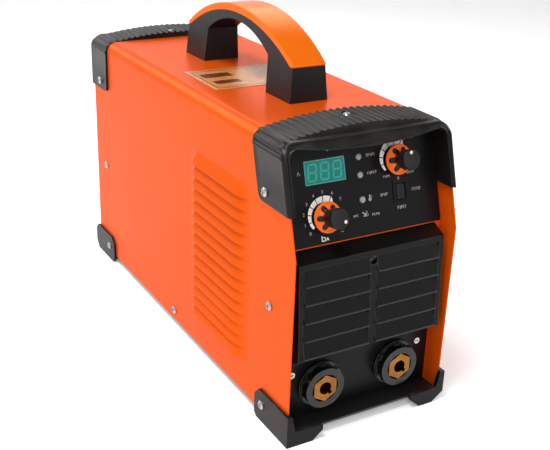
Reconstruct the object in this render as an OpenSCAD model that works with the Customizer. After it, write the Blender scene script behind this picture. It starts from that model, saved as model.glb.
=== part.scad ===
// Stick welding inverter: sheet-steel case, plastic hoods and feet, carrying handle,
// control fascia, air grille, two panel sockets, and the power electronics inside.
// Millimetres, +Z up, front towards -Y, origin under the middle of the case.
// Heights are given above a datum a little below the feet; the case frame lowers the
// finished part, so that the feet stand on Z = 0.

/* [Case] */
// Width over the cover's side sheets
case_w = 178; // [170:1:190]
// Length of the cover, from its front edge to its rear edge
case_len = 493; // [480:1:520]
// Height of the cover's top face above the datum
case_top = 292; // [288:1:296]
// Height of the cover's bottom edge above the datum
case_bottom = 13; // [11:0.5:14]
// Thickness of the cover's sheet
cover_t = 1.2; // [1:0.1:1.5]
// Outside radius of the cover's top bends
bend_r = 12; // [10:1:13]
// Height at which the front leans back
fold_z = 194; // [190:1:196]
// Lean of the upper front, from vertical
lean = 16.8; // [14:0.2:18]
// Distance from the cover's front edge to the front plate
panel_setback = 22.5; // [21:0.5:25]
// Thickness of the front and rear plates
plate_t = 1.5; // [1.2:0.1:2]
// Number of pressed louvers on each side
louver_count = 15; // [8:1:15]
// Height step from one louver to the next
louver_pitch = 12.14; // [11.5:0.02:12.5]

/* [Hoods] */
// How far the hoods stand proud of the cover's sides
hood_wall = 3; // [2.5:0.1:3.5]
// Height of the lower end of the hoods' legs
hood_leg_z = 232; // [225:1:240]
// Depth of the hoods over the cover, front to back
hood_depth = 48; // [44:1:52]
// Height of the hoods' crowned top, over the ribs
hood_crown_z = 300; // [297:0.5:302]
// Spacing of the ribs
rib_pitch = 7.6; // [7:0.1:9]

/* [Handle] */
// Length of the handle's foot print, front to back
handle_len = 236; // [226:1:246]
// Width of the handle at the cover
handle_base_w = 43; // [38:1:46]
// Width of the handle at the strap
handle_top_w = 37; // [34:1:38]
// Height of the top of the strap above the datum
handle_top_z = 366; // [362:1:370]

/* [Controls] */
// Diameter of the knobs' orange skirts
skirt_d = 28.5; // [26:0.5:30]
// Height of the knobs above the fascia
knob_h = 27; // [24:0.5:28]
// Diameter of the knobs' caps
cap_d = 19; // [18:0.5:21]
// Diameter of the potentiometer shafts
shaft_d = 6; // [5:0.5:6.5]

/* [Sockets] */
// Distance between the two output sockets
socket_pitch = 87; // [82:1:90]
// Height of the sockets' axes above the datum
socket_z = 49.5; // [46:0.5:52]
// Bore of the brass contacts
socket_bore_d = 13.2; // [9:0.1:13.5]

/* [Feet] */
// Length of each corner foot along the case
foot_len = 62; // [55:1:66]
// Height of the feet's side flanges
foot_h = 38; // [34:1:40]
// Width of each foot's front bar
foot_w = 40; // [36:1:46]

/* [Fan] */
// Size of the fan's square frame
fan_size = 120; // [110:1:120]
// Height of the fan's axis above the datum
fan_z = 108; // [104:1:110]

/* [Hidden] */
$fn = 64;
eps = 0.01;
gap = 0.2;                                   // clearance between neighbouring parts
// radius of an arc from half its chord and its rise
function arc_radius(half, rise) = (half * half + rise * rise) / (2 * rise);

// colours
orange = [0.87, 0.33, 0.10];
black = [0.10, 0.09, 0.09];
steel = [0.62, 0.63, 0.65];

// case frame: "setback" runs from the cover's front edge towards the rear
floor_z = 4.5;                               // height of the floor above the datum
foot_lead = 5;                               // front feet ahead of the cover
foot_trail = 9;                              // rear feet behind the cover
front_y = -(foot_lead + case_len + foot_trail) / 2 + foot_lead;
half_w = case_w / 2;
inner_w = half_w - cover_t;
rear_plate_setback = case_len - panel_setback;
plate_half_w = inner_w - gap;
plate_bottom = 17;
air_hole = [140, 70];                        // behind the grille, in the front plate
air_hole_z = 100;
tray_z = 14;                                 // underside of the base tray
tray_t = 2;
tray_top = tray_z + tray_t;
sill_setback = 1.5;                          // of the tray's front and rear edges
vent_count = 9;                              // cooling slots in each half of the tray
vent_x = 52;
vent_y0 = 120;
vent_pitch = 13;
vent_size = [48, 4];

// leaning face: distances square to it are measured from the cover's leaning edge
face_setback = panel_setback * cos(lean);    // front of the leaning part of the plate
fascia_t = 2.4;
fascia_face = face_setback - fascia_t;
fascia_s0 = face_setback * tan(lean) + 1.2;  // lower edge of the fascia, up the slope
fascia_s1 = 98;
fascia_half_w = half_w - 3;

// control positions on the fascia: across, and up the slope
current_pos = [-44, 31.5];
force_pos = [38.5, 72];
display_pos = [-37.7, 72];
display_size = [43.2, 22.2];
display_module_size = [37.6, 19];
led_x = -1.1;
led_s = [79.7, 63.1, 40.2];
selector_pos = [42, 41.5];
selector_size = [14, 19];
rocker_depth = 3.6;                          // of its axis, below the fascia's face
rocker_len = selector_size[1] - 4.4;
rocker_rest = 9;                             // tipped to the left

// knob
skirt_t = 3;
knob_gap = 5;                                // between the skirt and the fascia
knob_bore_depth = 14;
lobe_count = 6;
// pointers at rest, anticlockwise from straight up the slope
current_rest = -122;
force_rest = 0;

// pot
pot_bush_d = 9;
pot_body_d = 24;
board_front = -14;                           // control board, behind the plate's front face
board_t = 1.6;

// front hood and mouth
hood_half_w = half_w + hood_wall;
hood_corner_r = 12;
rib_r = 2.5;
rib_proud = 1.4;
leg_rib_r = 1.9;
leg_rib_sunk = 1.6;                          // centre of a leg rib, inside the leg's face
leg_rib_z = hood_leg_z + 16;                 // height of the lowest leg rib
crown_z = hood_crown_z - rib_proud;
crown_drop = 7;                              // from the middle to the corners
hood_shoulder_z = crown_z - crown_drop + 0.5;  // top of the hoods' rounded corners
crown_half = hood_half_w - hood_corner_r;
crown_r = arc_radius(crown_half, crown_drop);
lip_front = 4;                               // lip ahead of the cover's edge
top_rib_half = floor((crown_half - rib_r) / rib_pitch);   // ribs on each side of the middle one
leg_rib_last = floor((hood_shoulder_z - hood_corner_r - leg_rib_z) / rib_pitch);
mouth_half_w = half_w - 4;
mouth_corner_r = 9;
mouth_side_z = 287;
mouth_mid_z = 280.5;
mouth_r = arc_radius(mouth_half_w - mouth_corner_r - 1, mouth_side_z - mouth_mid_z);
hood_screw_setback = 36;
rear_leg_screw_setback = 29;
hood_leg_screw_z = hood_leg_z + 10;
hood_top_screw_y = [(case_top - fold_z) * tan(lean) + hood_screw_setback, case_len - hood_screw_setback];
hood_leg_spots = [[(hood_leg_screw_z - fold_z) * tan(lean) + hood_screw_setback, hood_leg_screw_z],
    [case_len - rear_leg_screw_setback, hood_leg_screw_z]];
hood_seat_z = hood_crown_z - 3.6;            // where the hoods' top screw heads sit

// grille box, side outline as [setback, height]
grille_half_w = half_w - 8.5;
grille_back = panel_setback;
grille_profile = [[grille_back, 193], [6.5, 185.5], [0.5, 91], [grille_back, 79]];
grille_wall = 2.4;
slat_count = 5;
slat_pitch = 17.8;
slat_first_z = 164.5;
slat_rib_half = 4;
slat_edge_x = grille_half_w - 5.5;
slat_t = 2;
slat_tilt = 20;
slat_window_top = 180;
boss_z = 176;
boss_d = 11;
boss_seat = 12;                              // setback of the grille screw's seat
slat_last_z = slat_first_z - (slat_count - 1) * slat_pitch;
// setback of a slat's lower lip: the grille's front leans out towards the bottom
function slat_setback(i) = 2.9 - i * 1.15;

// socket
socket_x = socket_pitch / 2;
socket_face = 8;                             // setback of the contact's front
collar_d = 42;
flange_d = 47;
flange_t = 3.5;
contact_d = 27.4;
contact_hex_d = 28.2;                        // across its corners
contact_depth = 12;
thread_d = 20;
socket_hole_d = 22;
contact_tail = 52;                           // setback of the contact's rear end
panel_t = 1.5;
panel_face = panel_setback - panel_t;

// handle, side outline in [along, height] about the handle's middle
handle_mid = 249;                            // setback of the handle's middle
handle_open = 140;
handle_pillar_top = 326;
strap_t = 8;
strap_edge_z = handle_top_z - strap_t;
handle_arch_z = handle_top_z - 15.5;
handle_inner_z = 329;
handle_half = handle_len / 2;
open_half = handle_open / 2;
strap_foot = handle_half - 2.5;              // half length at the strap's ends
arc_foot = strap_foot - 5.5;
arc_sunk = 4;                                // of the arch's ends, into the pillars
under_r = arc_radius(arc_foot, strap_edge_z - handle_pillar_top);
top_r = arc_radius(strap_foot - 0.5, handle_top_z - handle_pillar_top - 3);
inner_r = arc_radius(open_half - 3, handle_arch_z - handle_inner_z);

// screws
cover_screw_spots = [[40.5, 133], [253.4, 25], [459.5, 133]];
screw_d = 4;
screw_head_d = 9;
screw_head_h = 2.6;
screw_len = 12;
foot_screw_setback = 44;
foot_screw_z = 24;
rear_foot_screw_setback = case_len - foot_screw_setback + foot_trail - foot_lead;
foot_screw_spots = [[foot_screw_setback, foot_screw_z], [rear_foot_screw_setback, foot_screw_z]];
handle_screw_d = 6;
handle_screw_len = 20;
handle_screw_y = [for (k = [-1, 1]) for (o = [87, 104]) handle_mid + k * o];

// louvers: span along the case, and their height
louver_front = 79;
louver_rear = 202;
louver_top_z = 231;
louver_h = 10;
louver_proud = 4;
louver_slot = 3.4;

// rear equipment
fan_depth = 38;
fan_bore_d = fan_size - 6;
fan_hole_pitch = fan_size * 105 / 120;
fan_hub_d = 42;
rotor_d = fan_bore_d - 4;
blade_count = 7;
blade_tilt = 52;
fan_pin_d = 4;
guard_t = 2.5;
guard_wire = 2.4;
fan_front = rear_plate_setback - plate_t - gap - fan_depth;
breaker_pos = [-42, 226];
breaker_size = [54, 46];
lever_w = 46;
lever_pivot_r = 7;
lever_pin_d = 3;
lever_pin_len = 2.2;
lever_rest = -38;                            // handle down, switched off
lever_axis_setback = rear_plate_setback - 1;
gland_pos = [46, 236];
gland_d = 22;
earth_pos = [70, 188];
rating_pos = [26, 196];

// power electronics
sink_y0 = 236;
sink_len = 176;
sink_z0 = 26;
sink_h = 92;
sink_base_x = 22;
sink_base_t = 7;
fin_count = 10;
fin_t = 1.6;
fin_len = 48;
pcb_z = 128;
pcb_size = [158, 200];
pcb_y0 = 226;
standoff_x = 66;
standoff_y = [250, 400];
cap_x = 44;
cap_y = [270, 330];
cap_d_big = 35;
cap_h_big = 52;
transformer_y = 186;
inductor_y = 112;

// ---------- helpers ----------

module in_case() { translate([0, front_y, -floor_z]) children(); }

// local X across, local Y up the slope, local Z square out of the leaning face
module on_slope(setback) {
    in_case() translate([0, 0, fold_z]) rotate([90 - lean, 0, 0])
        translate([0, 0, -setback]) children();
}

// local X across, local Y up, local Z out of the front
module on_front(setback) { in_case() translate([0, setback, 0]) rotate([90, 0, 0]) children(); }

// local Z out of the rear, local X towards the object's left when seen from the front
module on_rear(setback) {
    in_case() translate([0, setback, 0]) rotate([90, 0, 180]) children();
}

// outline in the X-Z plane pushed along the case from one setback to another
module along_case(s0, s1) {
    in_case() translate([0, s1, 0]) rotate([90, 0, 0]) linear_extrude(s1 - s0) children();
}

// outline in [setback, height] pushed across the case
module across_case(w) {
    in_case() translate([-w / 2, 0, 0]) rotate([90, 0, 90]) linear_extrude(w) children();
}

module both_sides() {
    children();
    mirror([1, 0, 0]) children();
}

// turns a front piece into a rear piece, about the middle of the cover
module end_for_end() { translate([0, 2 * front_y + case_len, 0]) mirror([0, 1, 0]) children(); }

module rounded_square(size, r) {
    square([size[0] - 2 * r, size[1]], center = true);
    square([size[0], size[1] - 2 * r], center = true);
    for (x = [-1, 1], y = [-1, 1])
        translate([x * (size[0] / 2 - r), y * (size[1] / 2 - r)]) circle(r);
}

module pan_screw(length, head_d = screw_head_d, head_h = screw_head_h, shank_d = screw_d) {
    difference() {
        union() {
            translate([0, 0, -length]) cylinder(d = shank_d, h = length + eps);
            cylinder(d = head_d, h = head_h * 0.45);
            translate([0, 0, head_h * 0.45]) cylinder(d1 = head_d, d2 = head_d * 0.62, h = head_h * 0.55);
        }
        for (a = [0, 90]) rotate([0, 0, a])
            translate([0, 0, head_h]) cube([head_d * 0.6, 1.1, 2.4], center = true);
    }
}

// screw holes through both sides at [setback, height] spots
module side_holes(spots, at) {
    both_sides() for (p = spots) in_case() translate([-at - 1, p[0], p[1]])
        rotate([0, 90, 0]) cylinder(d = screw_d + 0.5, h = 5);
}

// ---------- sheet-metal case ----------

module cover_outline(grow) {
    w = half_w + grow;
    top = case_top + grow;
    r = bend_r + grow;
    translate([-w, case_bottom]) square([2 * w, top - r - case_bottom]);
    translate([-w + r, case_bottom]) square([2 * (w - r), top - case_bottom]);
    for (x = [-1, 1]) translate([x * (w - r), top - r]) circle(r);
}

// everything behind the cover's front edge
module behind_front_edge(far = 700) {
    tall = 400;
    in_case() translate([0, 0, fold_z]) rotate([-lean, 0, 0])
        translate([-200, 0, 0]) cube([400, far, tall]);
    in_case() translate([-200, 0, -50]) cube([400, far, fold_z + 50]);
}

module louver_form(z) {
    // wedge-shaped hood, open underneath, with closed ends
    half = louver_rear - louver_front;
    nose = 6;
    rise = louver_proud;
    outline = [[0, 0], [0, louver_h], [-rise, 1.6], [-rise, 0]];
    in_case() translate([-half_w, louver_front, z]) difference() {
        intersection() {
            translate([0, half, 0]) rotate([90, 0, 0]) linear_extrude(half) polygon(outline);
            translate([-rise - 1, 0, 0]) rotate([90, 0, 90]) linear_extrude(rise + 2)
                polygon([[nose * 1.6, 0], [0, nose], [0, louver_h], [half - nose, louver_h],
                    [half, louver_h / 2], [half - nose, 0]]);
        }
        translate([0, half - nose, -eps]) rotate([90, 0, 0]) linear_extrude(half - 2.6 * nose)
            polygon([[1, -1], [1, louver_h - 2], [-rise + 1.1, 1], [-rise + 1.1, -1]]);
    }
}

module louver_cut(z) {
    in_case() translate([-half_w - 1, louver_front + 11, z])
        cube([cover_t + 2, louver_rear - louver_front - 18, louver_slot]);
}

module cover() color(orange) {
    louver_z = [for (i = [0 : louver_count - 1]) louver_top_z - louver_h - i * louver_pitch];
    difference() {
        union() {
            difference() {
                along_case(0, case_len) difference() {
                    cover_outline(0);
                    cover_outline(-cover_t);
                }
                both_sides() for (z = louver_z) louver_cut(z);
            }
            both_sides() for (z = louver_z) louver_form(z);
        }
        difference() {
            in_case() translate([-200, -50, 0]) cube([400, 200, 400]);
            behind_front_edge();
        }
        side_holes(concat(cover_screw_spots, foot_screw_spots, hood_leg_spots), half_w);
        for (y = hood_top_screw_y)
            in_case() translate([0, y, case_top - 5]) cylinder(d = screw_d + 0.5, h = 10);
        for (y = handle_screw_y)
            in_case() translate([0, y, case_top - 5]) cylinder(d = handle_screw_d + 0.5, h = 10);
    }
}

module base_tray() color(black) {
    flange_h = 24;
    half = plate_half_w;
    start = panel_setback + plate_t + gap;
    length = case_len - 2 * start;
    difference() {
        union() {
            in_case() translate([-half, sill_setback, tray_z])
                cube([2 * half, case_len - 2 * sill_setback, tray_t]);
            both_sides() in_case() translate([-half, start, tray_z]) cube([tray_t, length, flange_h]);
        }
        side_holes(concat([cover_screw_spots[1]], foot_screw_spots), half);
        for (k = [0 : vent_count - 1], x = [-1, 1]) in_case()
            translate([x * vent_x - vent_size[0] / 2, vent_y0 + k * vent_pitch, tray_z - 1])
                cube([vent_size[0], vent_size[1], tray_t + 2]);
    }
}

// ---------- front ----------

module front_plate() color(orange) {
    flange = 24;
    difference() {
        union() {
            on_front(panel_setback + plate_t) linear_extrude(plate_t)
                translate([-plate_half_w, plate_bottom]) square([2 * plate_half_w, fold_z - plate_bottom]);
            intersection() {
                on_slope(face_setback + plate_t) linear_extrude(plate_t)
                    translate([-plate_half_w, face_setback * tan(lean)]) square([2 * plate_half_w, 120]);
                along_case(0, 100) cover_outline(-cover_t - gap);
            }
            both_sides() in_case() translate([-plate_half_w, panel_setback + plate_t - eps, 40])
                cube([plate_t, flange, 150]);
        }
        on_front(panel_setback + 6) for (x = [-1, 1]) translate([x * socket_x, socket_z, 0])
            cylinder(d = socket_hole_d, h = 12);
        on_front(panel_setback + 6) translate([-air_hole[0] / 2, air_hole_z, 0])
            cube([air_hole[0], air_hole[1], 12]);
        on_slope(face_setback + 6) {
            translate([display_pos[0], display_pos[1], 0]) linear_extrude(12)
                square(display_module_size + [2, 1], center = true);
            for (s = led_s) translate([led_x, s, 0]) cylinder(d = 5.6, h = 12);
            for (p = [current_pos, force_pos]) translate([p[0], p[1], 0])
                cylinder(d = pot_bush_d + 0.4, h = 12);
            translate([selector_pos[0] - selector_size[0] / 2, selector_pos[1] - selector_size[1] / 2, 0])
                cube([selector_size[0], selector_size[1], 12]);
        }
        on_front(panel_setback + 6) translate([0, boss_z, 0]) cylinder(d = screw_d + 0.4, h = 12);
        side_holes([cover_screw_spots[0]], plate_half_w);
    }
}

module control_fascia() color(black) on_slope(face_setback) difference() {
    translate([-fascia_half_w, fascia_s0, 0.02])
        cube([2 * fascia_half_w, fascia_s1 - fascia_s0, fascia_t - 0.02]);
    translate([display_pos[0], display_pos[1], -1]) linear_extrude(5)
        square(display_size, center = true);
    for (s = led_s) translate([led_x, s, -1]) cylinder(d = 6.4, h = 5);
    for (p = [current_pos, force_pos]) translate([p[0], p[1], -1]) cylinder(d = pot_bush_d + 0.4, h = 5);
    translate([selector_pos[0], selector_pos[1], -1]) linear_extrude(5)
        square(selector_size, center = true);
}

module grille_outline(inset) {
    p = grille_profile;
    polygon([p[0] + [inset, -inset], p[1] + [inset, -inset], p[2] + [inset, inset], p[3] + [inset, inset]]);
}

module front_grille() color(black) {
    difference() {
        across_case(2 * grille_half_w) grille_outline(0);
        difference() {
            across_case(2 * (grille_half_w - grille_wall)) grille_outline(grille_wall);
            in_case() translate([-slat_rib_half, 0, 70]) cube([2 * slat_rib_half, 60, 130]);
        }
        both_sides() in_case() translate([slat_rib_half, -5, slat_last_z + 2])
            cube([slat_edge_x - slat_rib_half, 20, slat_window_top - slat_last_z - 2]);
        on_front(panel_setback + 5) translate([0, boss_z, 0]) cylinder(d = screw_d + 0.4, h = 40);
        on_front(boss_seat) translate([0, boss_z, 0]) cylinder(d = boss_d - 2.5, h = 20);
        in_case() translate([-200, panel_setback - 0.02, 60]) cube([400, 20, 150]);
    }
    // slats: each hangs from above and stands out at its lower lip
    for (i = [0 : slat_count - 1]) both_sides()
        in_case() translate([slat_rib_half - eps, slat_setback(i), slat_first_z - i * slat_pitch])
            rotate([-slat_tilt, 0, 0])
                cube([slat_edge_x - slat_rib_half + 2 * eps, slat_t, slat_pitch + 1]);
}

module socket_panel() color(black) difference() {
    on_front(panel_setback - 0.02) linear_extrude(panel_t - 0.02)
        translate([-fascia_half_w, plate_bottom]) square([2 * fascia_half_w, 78.6 - plate_bottom]);
    on_front(panel_setback + 5) for (x = [-1, 1]) translate([x * socket_x, socket_z, 0])
        cylinder(d = socket_hole_d, h = 12);
}

module socket_collar(side) color(black) on_front(panel_face) translate([side * socket_x, socket_z, 0])
    difference() {
        union() {
            cylinder(d = flange_d, h = flange_t);
            cylinder(d = collar_d, h = panel_face - socket_face);
            for (k = [0 : 5]) rotate([0, 0, k * 60 + 30]) translate([collar_d / 2 - 1, -3, 0])
                cube([3, 6, flange_t + 3]);
        }
        translate([0, 0, -1]) cylinder(d = socket_hole_d, h = 40);
        translate([0, 0, panel_face - socket_face - contact_depth]) cylinder(d = contact_d + 1.2, h = 40);
    }

module socket_contact(side) color([0.75, 0.52, 0.22])
    on_front(socket_face) translate([side * socket_x, socket_z, 0]) difference() {
        union() {
            translate([0, 0, -contact_depth + gap]) intersection() {
                cylinder(d = contact_d, h = contact_depth - gap);
                rotate([0, 0, 30]) cylinder(d = contact_hex_d, h = contact_depth - gap, $fn = 6);
            }
            translate([0, 0, socket_face - contact_tail])
                cylinder(d = thread_d, h = contact_tail - socket_face - 5);
        }
        translate([0, 0, -30]) cylinder(d = socket_bore_d, h = 40);
        rotate([0, 0, -45]) translate([0, -2, -18]) cube([socket_bore_d / 2 + 3.2, 4, 30]);
    }

module display_window() color([0.1, 0.5, 0.47]) on_slope(face_setback)
    translate([display_pos[0], display_pos[1], 0.9]) linear_extrude(1.2)
        square(display_size - [0.4, 0.4], center = true);

module display_module() color([0.2, 0.2, 0.2]) on_slope(face_setback)
    translate([display_pos[0], display_pos[1], board_front]) linear_extrude(0.8 - board_front)
        square(display_module_size, center = true);

module indicator_lenses() color([0.5, 0.5, 0.5]) on_slope(face_setback) for (s = led_s)
    translate([led_x, s, 0]) {
        translate([0, 0, board_front]) cylinder(d = 5, h = fascia_t - board_front);
        translate([0, 0, fascia_t]) cylinder(d = 6, h = 0.8);
        translate([0, 0, fascia_t + 0.8]) cylinder(d1 = 6, d2 = 3.6, h = 0.9);
    }

module selector_housing() color([0.12, 0.10, 0.11]) on_slope(face_setback) difference() {
    translate([selector_pos[0], selector_pos[1], 0]) union() {
        translate([0, 0, -9]) linear_extrude(9 + fascia_t + 0.4)
            square(selector_size - [0.4, 0.4], center = true);
        translate([0, 0, fascia_t + 0.02]) linear_extrude(0.8) rounded_square(selector_size + [3, 3], 1.2);
    }
    translate([selector_pos[0], selector_pos[1], -6]) linear_extrude(20)
        square(selector_size - [3.4, 3.4], center = true);
}

// ---------- hoods ----------

module hood_outline(inset) {
    w = hood_half_w - inset;
    r = hood_corner_r;
    cz = hood_shoulder_z - r - inset;
    translate([-w, hood_leg_z]) square([2 * w, cz - hood_leg_z]);
    translate([-(w - r), hood_leg_z]) square([2 * (w - r), cz + r - hood_leg_z]);
    for (x = [-1, 1]) translate([x * (w - r), cz]) circle(r);
    intersection() {
        translate([-(w - r - 1), hood_leg_z]) square([2 * (w - r - 1), 100]);
        translate([0, crown_z - inset - crown_r]) circle(crown_r, $fn = 256);
    }
}

module hood_ribs() {
    for (k = [-top_rib_half : top_rib_half]) {
        x = k * rib_pitch;
        translate([x, crown_z - crown_r + sqrt(crown_r * crown_r - x * x) + rib_proud - rib_r])
            circle(rib_r, $fn = 24);
    }
    for (k = [0 : leg_rib_last], x = [-1, 1])
        translate([x * (hood_half_w - leg_rib_sunk), leg_rib_z + k * rib_pitch])
            circle(leg_rib_r, $fn = 24);
}

module mouth_outline() {
    r = mouth_corner_r;
    translate([-mouth_half_w, 0]) square([2 * mouth_half_w, mouth_side_z - r]);
    for (x = [-1, 1]) translate([x * (mouth_half_w - r), mouth_side_z - r]) circle(r);
    difference() {
        translate([-(mouth_half_w - r), 0]) square([2 * (mouth_half_w - r), mouth_side_z]);
        translate([0, mouth_mid_z + mouth_r]) circle(mouth_r, $fn = 256);
    }
}

// slab between two distances behind the cover's edge, for a face with this lean
module edge_slab(d0, d1, tilt) {
    in_case() translate([0, 0, fold_z]) rotate([-tilt, 0, 0])
        translate([-200, d0, -200]) cube([400, d1 - d0, 500]);
}

module hood_body(tilt) {
    reach = 160;
    difference() {
        union() {
            intersection() {
                along_case(-30, reach) hood_outline(0);
                edge_slab(-2, hood_depth, tilt);
            }
            intersection() {
                along_case(-30, reach) hood_ribs();
                edge_slab(3, hood_depth, tilt);
            }
            intersection() {
                along_case(-30, reach) hood_outline(2);
                edge_slab(-lip_front, 0, tilt);
            }
        }
        along_case(-40, reach + 10) mouth_outline();
        // room for the case, except for a flange that fills in front of the fascia
        difference() {
            intersection() {
                along_case(-40, reach + 10) cover_outline(gap);
                edge_slab(-gap, 200, tilt);
            }
            intersection() {
                along_case(-50, reach + 20) cover_outline(-cover_t - gap);
                edge_slab(-lip_front, fascia_face - gap, tilt);
            }
        }
    }
}

module hood_screw_holes(top_y, leg_spot) {
    in_case() translate([0, top_y, case_top - 3]) cylinder(d = screw_d + 0.5, h = 30);
    in_case() translate([0, top_y, hood_seat_z]) cylinder(d = screw_head_d + 1.5, h = 30);
    side_holes([leg_spot], hood_half_w);
}

module front_hood() color(black) difference() {
    hood_body(lean);
    hood_screw_holes(hood_top_screw_y[0], hood_leg_spots[0]);
}

module rear_hood() color(black) difference() {
    end_for_end() hood_body(0);
    hood_screw_holes(hood_top_screw_y[1], hood_leg_spots[1]);
}

// ---------- feet ----------

module foot_block(back_shift = 0) {
    // front left corner, outer faces at x = -(half_w + hood_wall) and setback -foot_lead
    ox = half_w + hood_wall;
    wall = hood_wall - gap;
    difference() {
        union() {
            // side flange
            in_case() translate([-ox, 0, 0]) rotate([90, 0, 90]) linear_extrude(wall)
                polygon([[-foot_lead, floor_z], [foot_len - 8, floor_z], [foot_len - 3, floor_z + 4],
                    [foot_len - 3, foot_h - 8], [foot_len - 11, foot_h], [-foot_lead, foot_h]]);
            // front bar with chamfered inner end, and the pad under the case
            on_front(-foot_lead + 6) linear_extrude(6)
                polygon([[-ox, floor_z], [-ox + foot_w - 11, floor_z], [-ox + foot_w, floor_z + 9.5],
                    [-ox + foot_w, 19], [-ox + 9, 21], [-ox + 5, foot_h], [-ox, foot_h]]);
            in_case() translate([-ox, -foot_lead, floor_z])
                cube([foot_w - 12, foot_len - 8, case_bottom - floor_z]);
        }
        in_case() translate([-half_w - gap, -gap - back_shift, case_bottom - gap]) cube([100, 100, 100]);
        in_case() translate([-ox - 1, foot_screw_setback, foot_screw_z])
            rotate([0, 90, 0]) cylinder(d = screw_d + 0.5, h = 8);
    }
}

// the rear feet stand a little further out than the front ones
module rear_foot_block() {
    end_for_end() translate([0, foot_lead - foot_trail, 0]) foot_block(foot_lead - foot_trail);
}

module foot_front_left() color(black) foot_block();
module foot_front_right() color(black) mirror([1, 0, 0]) foot_block();
module foot_rear_left() color(black) rear_foot_block();
module foot_rear_right() color(black) mirror([1, 0, 0]) rear_foot_block();

// ---------- handle ----------

// side outline of everything under an arc of this radius and top height
module under_arc(r, top, half, base) {
    intersection() {
        translate([handle_mid, top - r]) circle(r, $fn = 256);
        translate([handle_mid - half, base]) square([2 * half, 100]);
    }
}

module handle_opening() {
    under_arc(inner_r, handle_arch_z, open_half - 3, handle_inner_z - eps);
    polygon([[handle_mid - open_half, case_top - 1], [handle_mid + open_half, case_top - 1],
        [handle_mid + open_half - 3, handle_inner_z], [handle_mid - open_half + 3, handle_inner_z]]);
}

// front view of the handle: wide at the cover, narrower from the strap up
module handle_taper() {
    w0 = handle_base_w / 2;
    w1 = handle_top_w / 2;
    taper_end = handle_pillar_top + 1;
    in_case() translate([0, 500, 0]) rotate([90, 0, 0]) linear_extrude(500)
        polygon([[-w0, case_top], [-w1, taper_end], [-w1, 400],
            [w1, 400], [w1, taper_end], [w0, case_top]]);
}

module handle_body() color(black) difference() {
    intersection() {
        across_case(100) difference() {
            union() {
                polygon([[handle_mid - handle_half, case_top + 0.05],
                    [handle_mid + handle_half, case_top + 0.05],
                    [handle_mid + strap_foot, handle_pillar_top],
                    [handle_mid - strap_foot, handle_pillar_top]]);
                under_arc(under_r, strap_edge_z, arc_foot, handle_pillar_top - arc_sunk);
            }
            handle_opening();
        }
        handle_taper();
    }
    for (y = handle_screw_y)
        in_case() translate([0, y, case_top - 1])
            cylinder(d = handle_screw_d + 0.3, h = handle_screw_len + 2);
}

module handle_strap() color(orange) across_case(handle_top_w + 0.8) difference() {
    under_arc(top_r, handle_top_z, strap_foot + 0.5, handle_pillar_top + 0.1);
    under_arc(under_r + 0.1, strap_edge_z + 0.1, arc_foot + 0.1, handle_pillar_top - 1);
}

module handle_screws() color(steel) for (y = handle_screw_y)
    in_case() translate([0, y, case_top - cover_t - 0.05]) rotate([180, 0, 0])
        pan_screw(handle_screw_len, 11, 3.4, handle_screw_d);

// ---------- fasteners and plates ----------

module side_screws(spots, at, length) {
    both_sides() for (p = spots) in_case() translate([-at - 0.05, p[0], p[1]])
        rotate([0, -90, 0]) pan_screw(length);
}

module cover_screws() color(steel) side_screws(cover_screw_spots, half_w, 8);

module foot_screws() color(steel) side_screws(foot_screw_spots, hood_half_w, screw_len);

module hood_screws() color(steel) {
    side_screws(hood_leg_spots, hood_half_w, screw_len);
    for (y = hood_top_screw_y) in_case() translate([0, y, hood_seat_z + 0.05]) pan_screw(screw_len);
}

module grille_screw() color(steel) on_front(boss_seat - 0.05) translate([0, boss_z, 0])
    pan_screw(16, boss_d - 3.5, 2.6);

module info_plate() color([0.72, 0.47, 0.25])
    in_case() translate([-64, 203.5, case_top + 0.02]) cube([128, 77, 0.5]);

// ---------- rear ----------

module rear_plate() color(orange) {
    flange = 24;
    difference() {
        union() {
            along_case(rear_plate_setback - plate_t, rear_plate_setback) intersection() {
                cover_outline(-cover_t - gap);
                translate([-plate_half_w, plate_bottom]) square([2 * plate_half_w, case_top]);
            }
            both_sides() in_case() translate([-plate_half_w, rear_plate_setback - plate_t - flange, 40])
                cube([plate_t, flange + eps, 180]);
        }
        on_rear(rear_plate_setback - 6) {
            translate([0, fan_z, 0]) cylinder(d = fan_bore_d, h = 12);
            for (x = [-1, 1], z = [-1, 1])
                translate([x * fan_hole_pitch / 2, fan_z + z * fan_hole_pitch / 2, 0])
                    cylinder(d = screw_d + 0.4, h = 12);
            translate([gland_pos[0], gland_pos[1], 0]) cylinder(d = gland_d + 0.6, h = 12);
            translate([earth_pos[0], earth_pos[1], 0]) cylinder(d = 8.6, h = 12);
            translate([breaker_pos[0], breaker_pos[1], 0]) linear_extrude(12)
                square(breaker_size - [1.6, 1.6], center = true);
        }
        side_holes([cover_screw_spots[2]], plate_half_w);
    }
}

module fan_guard() color(black) on_rear(rear_plate_setback + 0.05) translate([0, fan_z, 0]) difference() {
    linear_extrude(guard_t) {
        difference() {
            rounded_square([fan_size + 4, fan_size + 4], 8);
            circle(d = fan_bore_d);
        }
        for (r = [14 : 9 : 50]) difference() {
            circle(r);
            circle(r - guard_wire);
        }
        circle(6);
        for (a = [45, 135]) rotate([0, 0, a]) square([fan_bore_d + 4, 3], center = true);
    }
    for (x = [-1, 1], z = [-1, 1]) translate([x * fan_hole_pitch / 2, z * fan_hole_pitch / 2, -1])
        cylinder(d = screw_d + 0.4, h = 12);
}

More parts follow.
